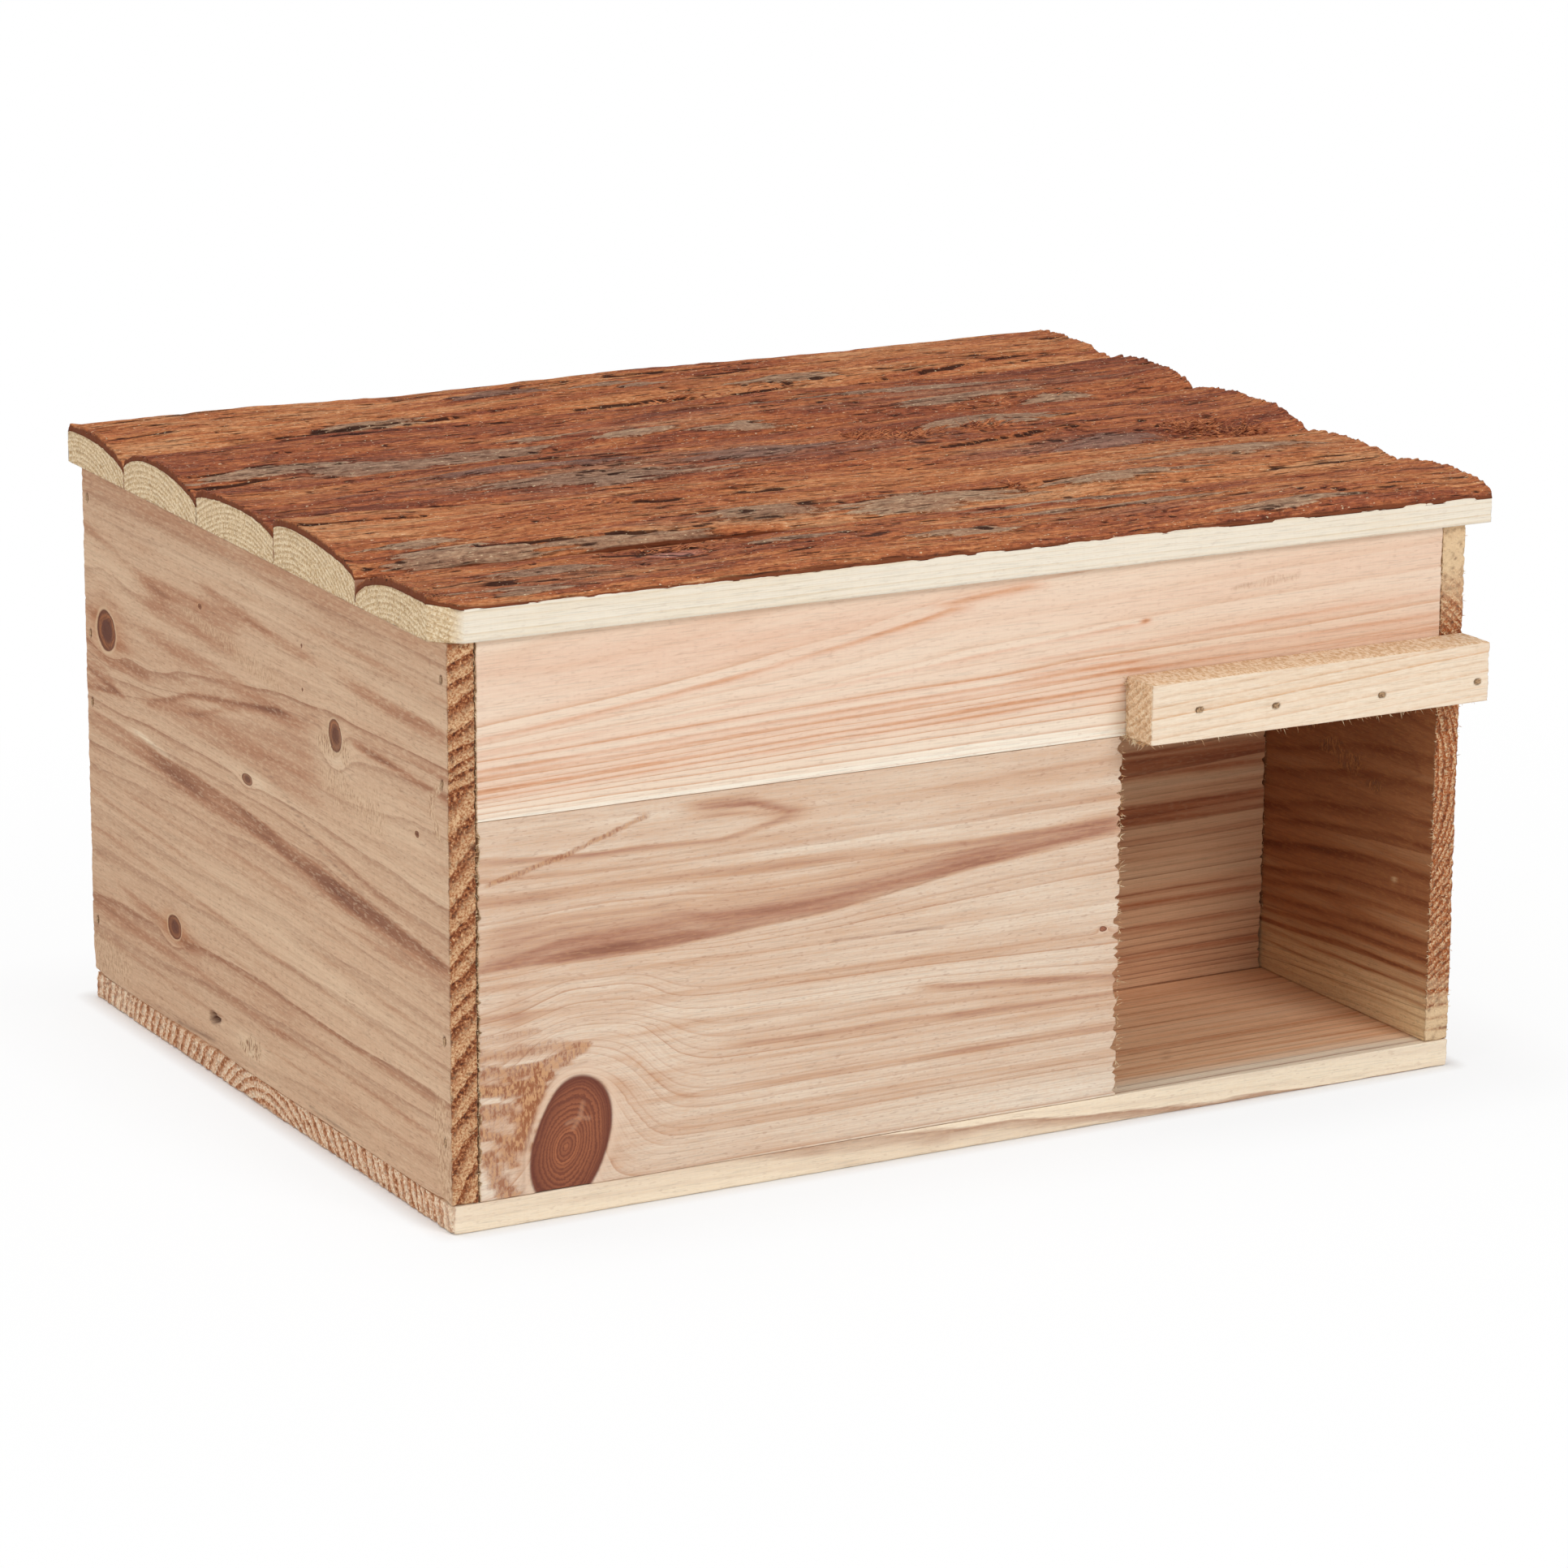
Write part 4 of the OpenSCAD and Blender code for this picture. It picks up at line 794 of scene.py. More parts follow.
def treeFields(points, look, through, endShare):
    # Where each point sits in the log: rings counts year rings out from the pith, lines is how strongly they
    # show, tone runs from sapwood (-1) to dark streak (1). Knot, depth and whorl draw the knots, their
    # darkness and their rings, halo the stain round them; mark is for cracks and scratches and, later,
    # painted shade round brads, in holes and where roof slabs meet, torn for fuzzy places, and hollow, filled
    # in later, for painted shade where the saw broke out of the ends. The grain parts round each knot.
    l, a, b = points[:, look["along"]], points[:, look["across"]], points[:, through]
    seed = look["seed"]
    bent = grainHeight(l, a, look["guides"])
    bent = bent + look["wander"] * rough((l, bent), (120, 40), seed)
    names = ("knot", "depth", "whorl", "halo", "markAndShade", "torn", "hollowShade")
    field = {name: np.zeros(len(points)) for name in names}
    collar = 0 * l
    for knotL, knotA, halfL, halfA, darkness, halo, *lean in look["knots"]:
        leaning = l - knotL - (lean[0] if lean else 0) * (a - knotA)
        away = ellipse(leaning, a, 0, knotA, halfL, halfA)
        away = away * (1 + 0.09 * noise((l, a), (halfL * 1.1, halfA * 1.1), seed + 3))
        bent = knotA + (bent - knotA) * (1 - look["knotPull"] * np.exp(-(away / look["knotReach"]) ** 2))
        collar = collar + look["collar"] * halfA * np.exp(-(away / look["collarReach"]) ** 2)
        turns = np.hypot(leaning / halfL + 0.14, (a - knotA) / halfA + 0.06) * max(2.4, halfA / 1.6)
        uneven = 0.9 * noise((l, a), (halfL * 0.45, halfA * 0.45), seed + 4)
        turns = turns + uneven + 0.9 * noise((turns,), (3,), seed)
        near = np.clip(1 - 0.5 * away, 0, 1)
        field["depth"] = np.where(near > field["knot"], darkness, field["depth"])
        field["whorl"] = np.where(near > field["knot"], turns, field["whorl"])
        field["knot"] = np.maximum(field["knot"], near)
        spread = ellipse(leaning, a, 0, knotA, 2.4 * halfL, 1.5 * halfA)
        field["halo"] = np.maximum(field["halo"], 0.75 * halo * np.exp(-(spread / 0.75) ** 2))
    # drying cracks in a knot show fresh wood
    for line, halfWidth in look["knotCracks"]:
        fresh = np.exp(-(lineDistance(l, a, line) / halfWidth) ** 2)
        field["depth"] = field["depth"] * (1 - 0.4 * fresh)
        field["halo"] = np.maximum(field["halo"], fresh)
    radius = np.hypot(bent - look["pith"][0], b - look["pith"][1]) + look["cone"] * l
    radius = radius + look["swirl"] * rough((l, bent, b), (70, 12, 25), seed + 5) + collar
    widths = np.random.default_rng(seed).uniform(*look["rings"], 240)
    field["rings"] = np.interp(radius, np.cumsum(widths) - 30, np.arange(240))
    field["lines"] = 1 + 0.3 * noise((l, bent), (90, 7), seed + 6)
    for zoneL, zoneA, halfL, halfA, change in look["zones"]:
        away = ((l - zoneL) / halfL) ** 2 + ((a - zoneA) / halfA) ** 2
        field["lines"] = field["lines"] + change * np.exp(-away)
    tone = 0.16 * rough((l, bent), (150, 13), seed + 7) + 0.08 * noise((l, bent), (70, 2.6), seed + 8)
    waver = 0.7 * rough((l, a), (26, 4), seed + 9)
    ragged = 0.85 + 0.3 * noise((l, bent), (34, 1.3), seed + 10) + 0.2 * noise((l, a), (24, 5), seed + 11)
    for line, above, below, strength in look["streaks"]:
        lineL, lineA = np.array(line, float).T
        side = a - np.interp(l, lineL, lineA) + waver * min(1.0, above + 0.2)
        spread = np.where(side > 0, above, below)
        fade = ease(l, lineL[0] - 14, lineL[0] + 4) * ease(-l, -lineL[-1] - 14, -lineL[-1] + 4)
        tone = tone + strength * fade * np.exp(-(side / spread) ** 2) * (ragged if strength > 0 else 1)
    for top, bottom, softTop, softBottom, strength in look["bands"]:
        under, end = offLine(l, a, top, waver, 14)
        over = offLine(l, a, bottom, waver)[0]
        inside = end * ease(-under, -softTop / 2, softTop / 2) * ease(over, -softBottom / 2, softBottom / 2)
        tone = tone + strength * inside * (0.85 + 0.3 * noise((l, bent), (34, 1.3), seed + 12))
        field["lines"] = field["lines"] * (1 - 0.7 * inside * (strength > 0))
    for blobL, blobA, halfL, halfA, strength in look["blobs"]:
        tone = tone + strength * np.exp(-((l - blobL) / halfL) ** 2 - ((a - blobA) / halfA) ** 2)
    for line, halfWidth, darkness in look["marks"]:
        wander = 0.5 * rough((l, a), (7, 7), seed + 13)
        drawn = np.exp(-(lineDistance(l, a + wander, line) / halfWidth) ** 2)
        drawn = drawn * (0.7 + 0.4 * noise((l, a), (4, 2), seed + 14))
        field["markAndShade"] = np.maximum(field["markAndShade"], max(darkness, 0) * drawn)
        tone = tone + min(darkness, 0) * drawn
    for line, halfWidth, strength in look["torn"]:
        away = lineDistance(l, a, line) / halfWidth + 0.5 * noise((l, a), (5, 1.6), seed + 15)
        field["torn"] = np.maximum(field["torn"], strength * ease(away, 1.15, 0.65))
    return {**field, "tone": tone, "endGrain": endShare}


def rounded(points, low, high, radius):
    # the box's arrises rounded: each point lies its radius away from the box that is smaller by that radius
    core = np.clip(points, low + radius, high - radius)
    outward = unit(points - core)
    return core + outward * radius, outward


def makeBoard(look, place=None):
    # a board as a lattice over its box: worn arrises, knots that sink, brads in small pits, torn ends
    node = look["node"]
    low, high = boxOf(node) if place is None else place
    along, across = look["along"], look["across"]
    through = 3 - along - across
    steps = {along: look["stepAlong"], across: look["stepAcross"], through: look["stepThrough"]}
    heads = np.array(look["heads"], float).reshape(-1, 3)
    lines = []
    for axis in range(3):
        extra, spans = [], []
        if axis == along:
            extra = sorted(set(heads[:, axis].tolist()))
            spans = [(knot[0], 1.3 * knot[2], look["stepKnot"]) for knot in look["knots"]]
        lines.append(gridLine(low[axis], high[axis], steps[axis], extra, spans=spans))
    points, quads = boxShell(lines)
    seed = look["seed"]
    radius = look["arris"] * (1 + 0.5 * rough(points.T, (14, 14, 14), seed + 20))
    for chip, reach, depth in look["chips"]:
        away = (((points - chip) / reach) ** 2).sum(axis=1)
        radius = radius + depth * np.exp(-away) * (0.8 + 0.5 * noise(points.T, (2.4, 2.4, 2.4), seed + 21))
    radius = np.clip(radius, 0.12, 4.5)[:, None]
    shaped, outward = rounded(points, low, high, radius)
    if look["drop"]:
        fall = (high[1] - points[:, 1]) * look["drop"] / (high[2] - low[2])
        points[:, 2] -= fall * (points[:, 2] - low[2])
        shaped[:, 2] -= fall * (shaped[:, 2] - low[2])
    endShare = outward[:, along] ** 2
    flat = 1 - endShare
    fields = treeFields(points, look, through, endShare)
    size = np.array([2.0, 2.0, 2.0])
    size[along] = 26
    if look["sawnTop"]:
        top = ease(outward[:, 2], 0.5, 0.9)
        fields["torn"] = np.maximum(fields["torn"], look["sawnTop"] * top)
        fields["tone"] = fields["tone"] + 0.5 * top
    push = -0.10 * flat * (1 + rough(points.T, size, seed + 22))
    push = push - look["knotSink"] * ease(fields["knot"], 0.46, 0.53) * fields["depth"] * flat
    fuzzy = 0.25 * fields["torn"] * flat * noise(points.T, (1.8, 1.8, 1.8), seed + 25)
    push = push + fuzzy - 0.2 * fields["markAndShade"]
    ending = np.sign(2 * points[:, along] - low[along] - high[along])
    crosswise = (points[:, across] + 40 * ending, points[:, through])
    tear = rough(crosswise, (1.5, 1.5), seed + 23)
    # painted shade in the pits of the torn end, where it is pushed in furthest
    fields["hollowShade"] = endShare * ease(tear, 0.1, 0.9) * 0.8
    for head in heads:
        away = np.sqrt((((points - head) / look["headHalf"]) ** 2).sum(axis=1))
        push = push - look["bradSink"] * ease(away, 1.9, 1.35)
        # a ring of painted shade round each brad's pit
        bradPitShade = look["bradShade"] * ease(away, 1.8, 1.4) * ease(away, 0.6, 1.1)
        fields["markAndShade"] = np.maximum(fields["markAndShade"], bradPitShade)
    if look["hole"]:
        holeL, holeA, halfL, halfA = look["hole"]
        away = ellipse(points[:, along], points[:, across], holeL, holeA, halfL, halfA)
        away = away + 0.15 * noise((points[:, along], points[:, across]), (2, 1.5), seed + 26)
        push = push - look["holeSink"] * ease(away, 1.05, 0.75) * (outward[:, through] < -0.5)
        # the sunk hole gets painted shade
        fields["markAndShade"] = np.maximum(fields["markAndShade"], ease(away, 1.25, 0.9))
    shaped = shaped + outward * push[:, None]
    # sawn ends break out: fibres end at uneven places, and what lies within reach of the end moves with them
    toEnd = np.minimum(points[:, along] - low[along], high[along] - points[:, along])
    near = np.clip(1 - toEnd / look["endReach"], 0, 1)
    teeth = np.maximum(noise(crosswise, (1.3, 5.0), seed + 24), 0)
    teeth = teeth + 0.4 * np.maximum(noise(crosswise, (3.1, 9.0), seed + 27), 0)
    teeth = teeth * np.where(ending < 0, look["jag"][0], look["jag"][1])
    inward = near * (teeth + look["endTorn"] * (1 + tear) * 0.7)
    shaped[:, along] -= ending * inward
    if place is not None:
        shaped = look["turn"](shaped)
    material = woodMaterial(look["material"], look)
    return makePiece(node + "_wood", shaped, quads, material, look["body"], [node], fields)


boards = {
    "SawnFirHeartwoodLeft": leftWall, "SawnFirHeartwoodRight": rightWall, "PlanedFirRose": upperFront,
    "PlanedFirBrownStreaked": lowerFront, "SawnFirInner": partition, "SawnFirFloor": floorBoard,
    "PlanedFirBackUpper": upperBack, "PlanedFirBackLower": lowerBack, "PlanedSpruceSapwood": lintel
}
for materialName, look in boards.items():
    look["material"] = materialName
    made = makeBoard(look)
    print("board", made.name, len(made.data.polygons), "faces")

# roof: five slabs in the lid's own frame, d is the distance from the rear edge, h the height

roofLook = {
    "x": (-205.0, 208.5), "depth": 313.026, "pin": (157.5, 205.132), "pinOff": 2.5, "slope": 0.7393,
    "lift": 0.1, "widthsLeft": [52.5, 65.5, 66, 66], "widthsRight": [63, 55, 80, 58], "gap": 0.4,
    "wander": 1.2, "swell": 0.5, "cornerCut": 8.7, "pithDepth": 38, "pithStep": 9, "bark": 2.4,
    "barkSwing": 0.22, "barkLeast": 0.6,
    # each slab at its left end, then at its right: rear height, crest height, crest place, front height
    "left": [
        [11.3, 12.4, 0.27, 5.6], [7.5, 13.6, 0.38, 6.2], [9.6, 13.2, 0.56, 8.8], [12.5, 15.7, 0.27, 8.2],
        [2.5, 12.9, 0.57, 11.1]],
    "right": [
        [11.5, 15, 0.44, 10.5], [11.5, 15.6, 0.46, 10.5], [10.5, 14.5, 0.5, 7], [8.5, 11.8, 0.4, 8.5],
        [9, 13.4, 0.7, 8.8]],
    # thick plates of bark and hollows where it fell off: x, d, half length, half width, rise
    "plates": [
        (-105, 46, 24, 7, 0.9), (-45, 25, 22, 8, 0.8), (74, 44, 26, 7, 0.9), (-20, 50, 46, 6, -1.2),
        (-170, 30, 26, 12, 0.6), (140, 20, 30, 10, 0.7), (36, 87, 48, 7, -1), (100, 95, 60, 6, 0.7),
        (-174, 108, 26, 7, 0.9), (-45, 105, 36, 7, 0.8), (114, 105, 34, 7, 1), (172, 112, 24, 6, -1.2),
        (-96, 149, 36, 8, 1), (-110, 160, 50, 5, -1.1), (-76, 171, 34, 8, 0.9), (52, 153, 18, 13, -1.2),
        (97, 150, 26, 9, 1.1), (173, 187, 22, 13, -1.2), (127, 189, 18, 8, 0.9), (-57, 217, 42, 6, -1.5),
        (-120, 219, 40, 10, 0.6), (-164, 246, 32, 6, 1), (-46, 241, 22, 6, 1), (18, 245, 36, 7, 1),
        (95, 244, 28, 6, 0.8), (158, 226, 34, 7, 0.9), (-103, 283, 18, 9, -1), (-157, 291, 28, 6, 0.8),
        (-54, 286, 22, 6, 0.6), (0, 300, 26, 6, 0.8), (61, 273, 36, 6, 0.7), (122, 306, 30, 6, 0.7),
        (160, 281, 34, 9, -0.7)]
}
roofLeft, roofRight = roofLook["x"]
roofLength = roofRight - roofLeft


def wave(turns):
    return np.sin(2 * math.pi * turns)


def slabEdge(k, u):
    # where the line between two slabs runs: straight from the left end to the right, with a slight wander
    if k == 0:
        return 0 * u
    if k == 5:
        return roofLook["depth"] + 0 * u
    left, right = sum(roofLook["widthsLeft"][:k]), sum(roofLook["widthsRight"][:k])
    return left + (right - left) * u + roofLook["wander"] * wave(1.6 * u + 0.29 * k) * np.sin(math.pi * u)


def slabSides(i, u):
    rear = slabEdge(i, u) + (roofLook["gap"] / 2 if i else 0)
    front = slabEdge(i + 1, u) - (roofLook["gap"] / 2 if i < 4 else 0)
    if i == 4:
        front = front - np.maximum(0, roofLook["cornerCut"] - u * roofLength)
    return rear, front


def woodHeight(i, u, d):
    # two arcs (1 - q^2)^0.65 that meet at the crest, like the outside of a log
    e0, e1 = slabEdge(i, u), slabEdge(i + 1, u)
    t = np.clip((d - e0) / (e1 - e0), 0, 1)
    left, right = roofLook["left"][i], roofLook["right"][i]
    rear, crest, at, front = [a + (b - a) * u for a, b in zip(left, right)]
    behind = rear + (crest - rear) * np.maximum(0, 1 - np.clip((at - t) / at, 0, 1) ** 2) ** 0.65
    before = front + (crest - front) * np.maximum(0, 1 - np.clip((t - at) / (1 - at), 0, 1) ** 2) ** 0.65
    swell = roofLook["swell"] * wave(1.7 * u + 0.23 * i) * np.sin(math.pi * t)
    return np.where(t < at, behind, before) + swell


def barkHeight(i, u, d):
    # the bark's thickness: a slow swing along the slab, and for each plate rise * (1 - q^2) where q^2 is the
    # squared distance from its middle over its half length and half width
    x = roofLeft + u * roofLength
    swing = np.sin(2 * math.pi * (2.3 * u + 0.41 * i) + d / 28.65)
    height = roofLook["bark"] * (1 + roofLook["barkSwing"] * swing)
    for plateX, plateD, halfX, halfD, rise in roofLook["plates"]:
        height = height + rise * np.maximum(0, 1 - ((x - plateX) / halfX) ** 2 - ((d - plateD) / halfD) ** 2)
    return np.maximum(roofLook["barkLeast"], height)


def fromRoof(x, d, h):
    # lid frame to the house: tilted about the hinge pin
    angle = math.radians(roofLook["slope"])
    y, z = -roofLook["pinOff"] - d, roofLook["lift"] + h
    pinY, pinZ = roofLook["pin"]
    return np.stack([x, pinY + y * math.cos(angle) - z * math.sin(angle),
                     pinZ + y * math.sin(angle) + z * math.cos(angle)], axis=1)


# thin leftovers of old bark: x, d, half length, half width and tint from beige-grey (0) to purple-grey (1)
flakes = [
    (-107.6, 44.7, 22, 4, 0), (-45, 25.5, 18, 5, 0.8), (2.4, 26.6, 11, 3, 0.3), (14.4, 31.7, 9, 2.5, 0.3),
    (73.8, 44.4, 24, 4.5, 0), (100, 91, 58, 3.4, 0.2), (-174, 107, 28, 4.5, 0.1), (-63.4, 100, 16, 3.5, 0),
    (-28.1, 107.1, 18, 3.5, 0), (16.1, 112.2, 22, 3.6, 0), (114.4, 105, 34, 4, 0.2), (146.5, 114.9, 20, 5, 0),
    (-133.5, 112.4, 26, 6, 0.3), (-87.6, 111, 28, 6, 0.3), (-95.7, 148.9, 37, 6, 0.9),
    (-76.7, 170.7, 42, 8, 0.3), (-7.1, 159.5, 26, 9, 0.8), (96.9, 150.3, 28, 9, 0.1),
    (127.3, 187.9, 18, 8, 0.9), (158, 226.3, 34, 6, 0.1), (-175.3, 233.9, 16, 4, 0),
    (-46.5, 240.5, 21, 6, 0.1), (-164.3, 247.3, 28, 8, 0), (-102.2, 249.4, 30, 5, 0.1),
    (17.7, 244.7, 37, 9, 0), (94.5, 243.7, 32, 5, 0.1), (-156.8, 291.2, 26, 4, 0.2),
    (-171.8, 306.8, 22, 4.5, 0.1), (-54.4, 285.7, 18, 3, 0.2), (-1.8, 300.7, 22, 3.6, 0.1),
    (60.8, 273, 34, 2.6, 0.2), (80.4, 287.1, 26, 2.6, 0.1), (38, 286, 26, 2.4, 0.2),
    (121.6, 308.2, 30, 3, 0.1)
]
# long fissures: points along x and d, half width, depth
fissures = [
    ([(-63.8, 40.6), (-16.2, 48.5), (30.6, 50.9)], 1.0, 1.6), ([(-143.9, 46.3), (-66, 46.1)], 0.9, 1.3),
    ([(1.3, 84.9), (70.7, 88.6)], 1.1, 1.8), ([(-203, 102.2), (-141.4, 106.5)], 1.1, 1.8),
    ([(149.3, 111), (192.1, 115.2)], 1.2, 1.8),
    ([(-164.2, 151.8), (-109.6, 161.1), (-48.3, 168.2)], 1.0, 1.6), ([(57.2, 178), (128.3, 168.4)], 0.9, 1.3),
    ([(-205, 202), (-153.7, 205.4)], 1.0, 1.5), ([(-92, 216), (-67.7, 217.6)], 2.3, 3.0),
    ([(-46, 218.1), (-24, 216.7)], 1.9, 2.8), ([(-67.7, 217.6), (-44.1, 218.1)], 1.3, 1.4),
    ([(-57.8, 235.6), (-11.3, 237.3)], 1.0, 1.6),
    ([(-197.2, 241.7), (-138.8, 243.2), (-68.8, 247.8)], 1.0, 1.6),
    ([(-10.6, 239.1), (125.4, 240.5)], 0.9, 1.5), ([(-78.3, 278.2), (-31.9, 286.9)], 0.9, 1.4),
    ([(-8.4, 297.8), (19.4, 302.1)], 0.9, 1.4), ([(40, 266), (200, 268)], 0.8, 1.0),
    ([(-130, 131), (-40, 137)], 0.9, 1.2), ([(-90, 262), (90, 266)], 0.8, 1.0),
    ([(-20, 16), (60, 17), (90, 14)], 0.8, 1.0), ([(70, 60), (120, 55), (180, 46)], 0.9, 1.2),
    ([(-190, 297), (-150, 300)], 0.9, 1.2), ([(-160, 66), (-60, 70)], 0.8, 1.1),
    ([(20, 130), (110, 127)], 0.8, 1.1)
]
# weathered patches: x, d, half length, half width, tint, share
patches = [
    (-70, 158, 80, 20, 0.5, 0.5), (30, 166, 50, 9, 1.0, 0.6), (-120, 112, 70, 9, 0.5, 0.45),
    (120, 100, 80, 8, 0.3, 0.35), (-20, 98, 60, 8, 0.3, 0.35), (150, 228, 50, 10, 0.2, 0.35),
    (-40, 241, 60, 9, 0.2, 0.3), (-150, 298, 50, 10, 0.6, 0.4), (100, 187, 50, 8, 0.8, 0.5),
    (80, 296, 60, 6, 0.5, 0.3)
]
# torn, fibrous places: x, d, half length, half width
tufts = [(51.1, 152.2, 20, 14), (172.9, 186.8, 24, 18), (88, 160, 10, 8), (-100, 216, 20, 4)]
# knots in the bark that the fibres run round
whorls = [(-103.2, 283.2, 13, 9)]
# dark folds: points along x and d, half width
folds = [
    ([(-112, 283), (-105, 288), (-97, 283)], 0.8), ([(-109, 279), (-102, 285)], 0.7),
    ([(-104, 277), (-97, 281)], 0.7),
    ([(-117, 284), (-111, 275), (-100, 272.5), (-91, 277), (-90, 286)], 0.6),
    ([(-116, 288), (-108, 293.5), (-96, 292)], 0.6)
]

# how orange each slab's bark is, from 0 dull red-brown to 1 orange
barkWarmth = [0.66, 0.41, 0.5, 0.73, 0.62]


def barkSurface(i, u, x, d):
    # Height of the bark over the wood and what it shows: flakes with streaky pointed ends, fissures, fibres
    # and knots, all drawn in flow coordinates that bend round the knots
    seed = barkLook["seed"] + i
    flow = d + 2.4 * rough((x, d), (120, 34), 60) + 0.7 * noise((x, d), (30, 9), 61)
    ringed = 0 * x
    for knotX, knotD, halfX, halfD in whorls:
        away = ellipse(x, d, knotX, knotD, halfX, halfD)
        flow = knotD + (flow - knotD) * (1 - 0.85 * np.exp(-(away / 1.3) ** 2))
        ringed = np.maximum(ringed, ease(away, 1.0, 0.35))
    upper = ease(rough((x, flow), (70, 6), seed, 4), 0.03, 0.16)
    lower = ease(rough((x, flow), (34, 3), seed + 7, 3), 0.1, 0.26)
    crackNoise = np.abs(rough((x, flow), (95, 5), seed + 13, 3))
    crackShade = ease(crackNoise, 0.045, 0.0) * ease(noise((x, d), (60, 12), seed + 14), -0.1, 0.3) * 0.9
    slit = np.abs(rough((x, flow), (48, 2.2), seed + 16, 2))
    slitShare = 0.6 * ease(slit, 0.05, 0.0) * ease(noise((x, d), (40, 6), seed + 17), 0.0, 0.35)
    crackShade = np.maximum(crackShade, slitShare)
    plate, tint, worn = 0 * x, 0 * x, 0 * x
    streaky = 0.45 * noise((x, flow), (26, 1.1), 71) + 0.3 * noise((x, flow), (12, 0.8), 72)
    for flakeX, flakeD, halfX, halfD, purple in flakes:
        slant = 0.05 * (x - flakeX) * math.sin(flakeX)
        away = np.abs(x - flakeX) / halfX / 1.15 + ((d - flakeD + slant) / halfD) ** 2 + streaky
        one = np.clip(0.5 + 0.9 * (0.85 - away), 0, 1)
        tint = np.where(one > plate, purple, tint)
        plate = np.maximum(plate, one)
    for patchX, patchD, halfX, halfD, purple, share in patches:
        away = ellipse(x, d, patchX, patchD, halfX, halfD) + 1.2 * streaky
        one = share * ease(away, 1.1, 0.5)
        tint = np.where((one > worn) & (plate < 0.2), purple, tint)
        worn = np.maximum(worn, one)
    tuft = 0 * x
    for tuftX, tuftD, halfX, halfD in tufts:
        away = ellipse(x, d, tuftX, tuftD, halfX, halfD) + 0.3 * noise((x, d), (6, 4), 73)
        tuft = np.maximum(tuft, ease(away, 1.1, 0.5))
    dig = 0.9 * crackShade
    for line, halfWidth, depth in fissures:
        narrow = halfWidth < 1.5
        side, within = offLine(x, d, line, rough((x, 0 * x), (9, 9), int(line[0][1])) * min(1.2, halfWidth))
        # thin at both ends, of uneven width, and bridged here and there where it is narrow
        share = np.clip((x - line[0][0]) / (line[-1][0] - line[0][0]), 0, 1)
        taper = 0.3 + 0.7 * np.sqrt(4 * share * (1 - share))
        taper = taper * (0.8 + 0.5 * noise((x, 0 * x), (7, 7), seed + 15))
        if narrow:
            within = within * ease(noise((x, d), (15, 15), seed + 18), -0.5, -0.15)
        half = halfWidth * taper
        dig = dig + depth * within * np.exp(-(side / half) ** 2)
        dig = dig - 0.4 * within * np.exp(-((side + 2.2) / 1.6) ** 2)
        # its far wall, which shows from a low place in front, gets painted shade
        shown = half * (0.6 if narrow else 0.9)
        crackShade = np.maximum(crackShade, within * np.exp(-((side + 0.6 * half) / shown) ** 2))
    for line, halfWidth in folds:
        away = lineDistance(x + noise((x, d), (5, 3), 78), d, line) / halfWidth
        dig = dig + 0.9 * np.exp(-away ** 2)
        crackShade = np.maximum(crackShade, 0.9 * np.exp(-away ** 2))
    height = barkHeight(i, u, d) - 0.85 + 0.4 * upper + 0.25 * lower + 0.5 * ease(plate, 0.42, 0.58)
    height = height + 0.30 * noise((x, flow), (26, 1.5), seed + 20)
    height = height + 0.26 * noise((x, flow), (11, 0.9), seed + 21)
    height = height + tuft * (0.75 * noise((x, d), (3.2, 1.9), 75) + 0.5 * noise((x, d), (7, 3), 76) - 0.3)
    height = height - 0.8 * ringed + 0.5 * ringed * np.cos(14 * ringed)
    height = np.maximum(height - dig, 0.2)
    warm = barkWarmth[i] + 0.34 * rough((x, flow), (60, 7), seed + 30) - 0.16 * upper
    # painted shade: cracks and slits, low places where the upper layers are thin, and specks in the torn
    # tufts
    hollowShade = np.clip(crackShade + 0.2 * (1 - upper) * (1 - lower) + 0.5 * tuft * noise((x, d), (3, 2), 75), 0, 1)
    return (height, {"flow": np.stack([x, flow, 0 * x], axis=1) / 1000, "plate": plate * (1 - 0.6 * tuft),
                     "worn": worn * (1 - tuft), "tint": tint, "crackShade": hollowShade, "warm": np.clip(warm, 0, 1),
                     "ringed": ringed})


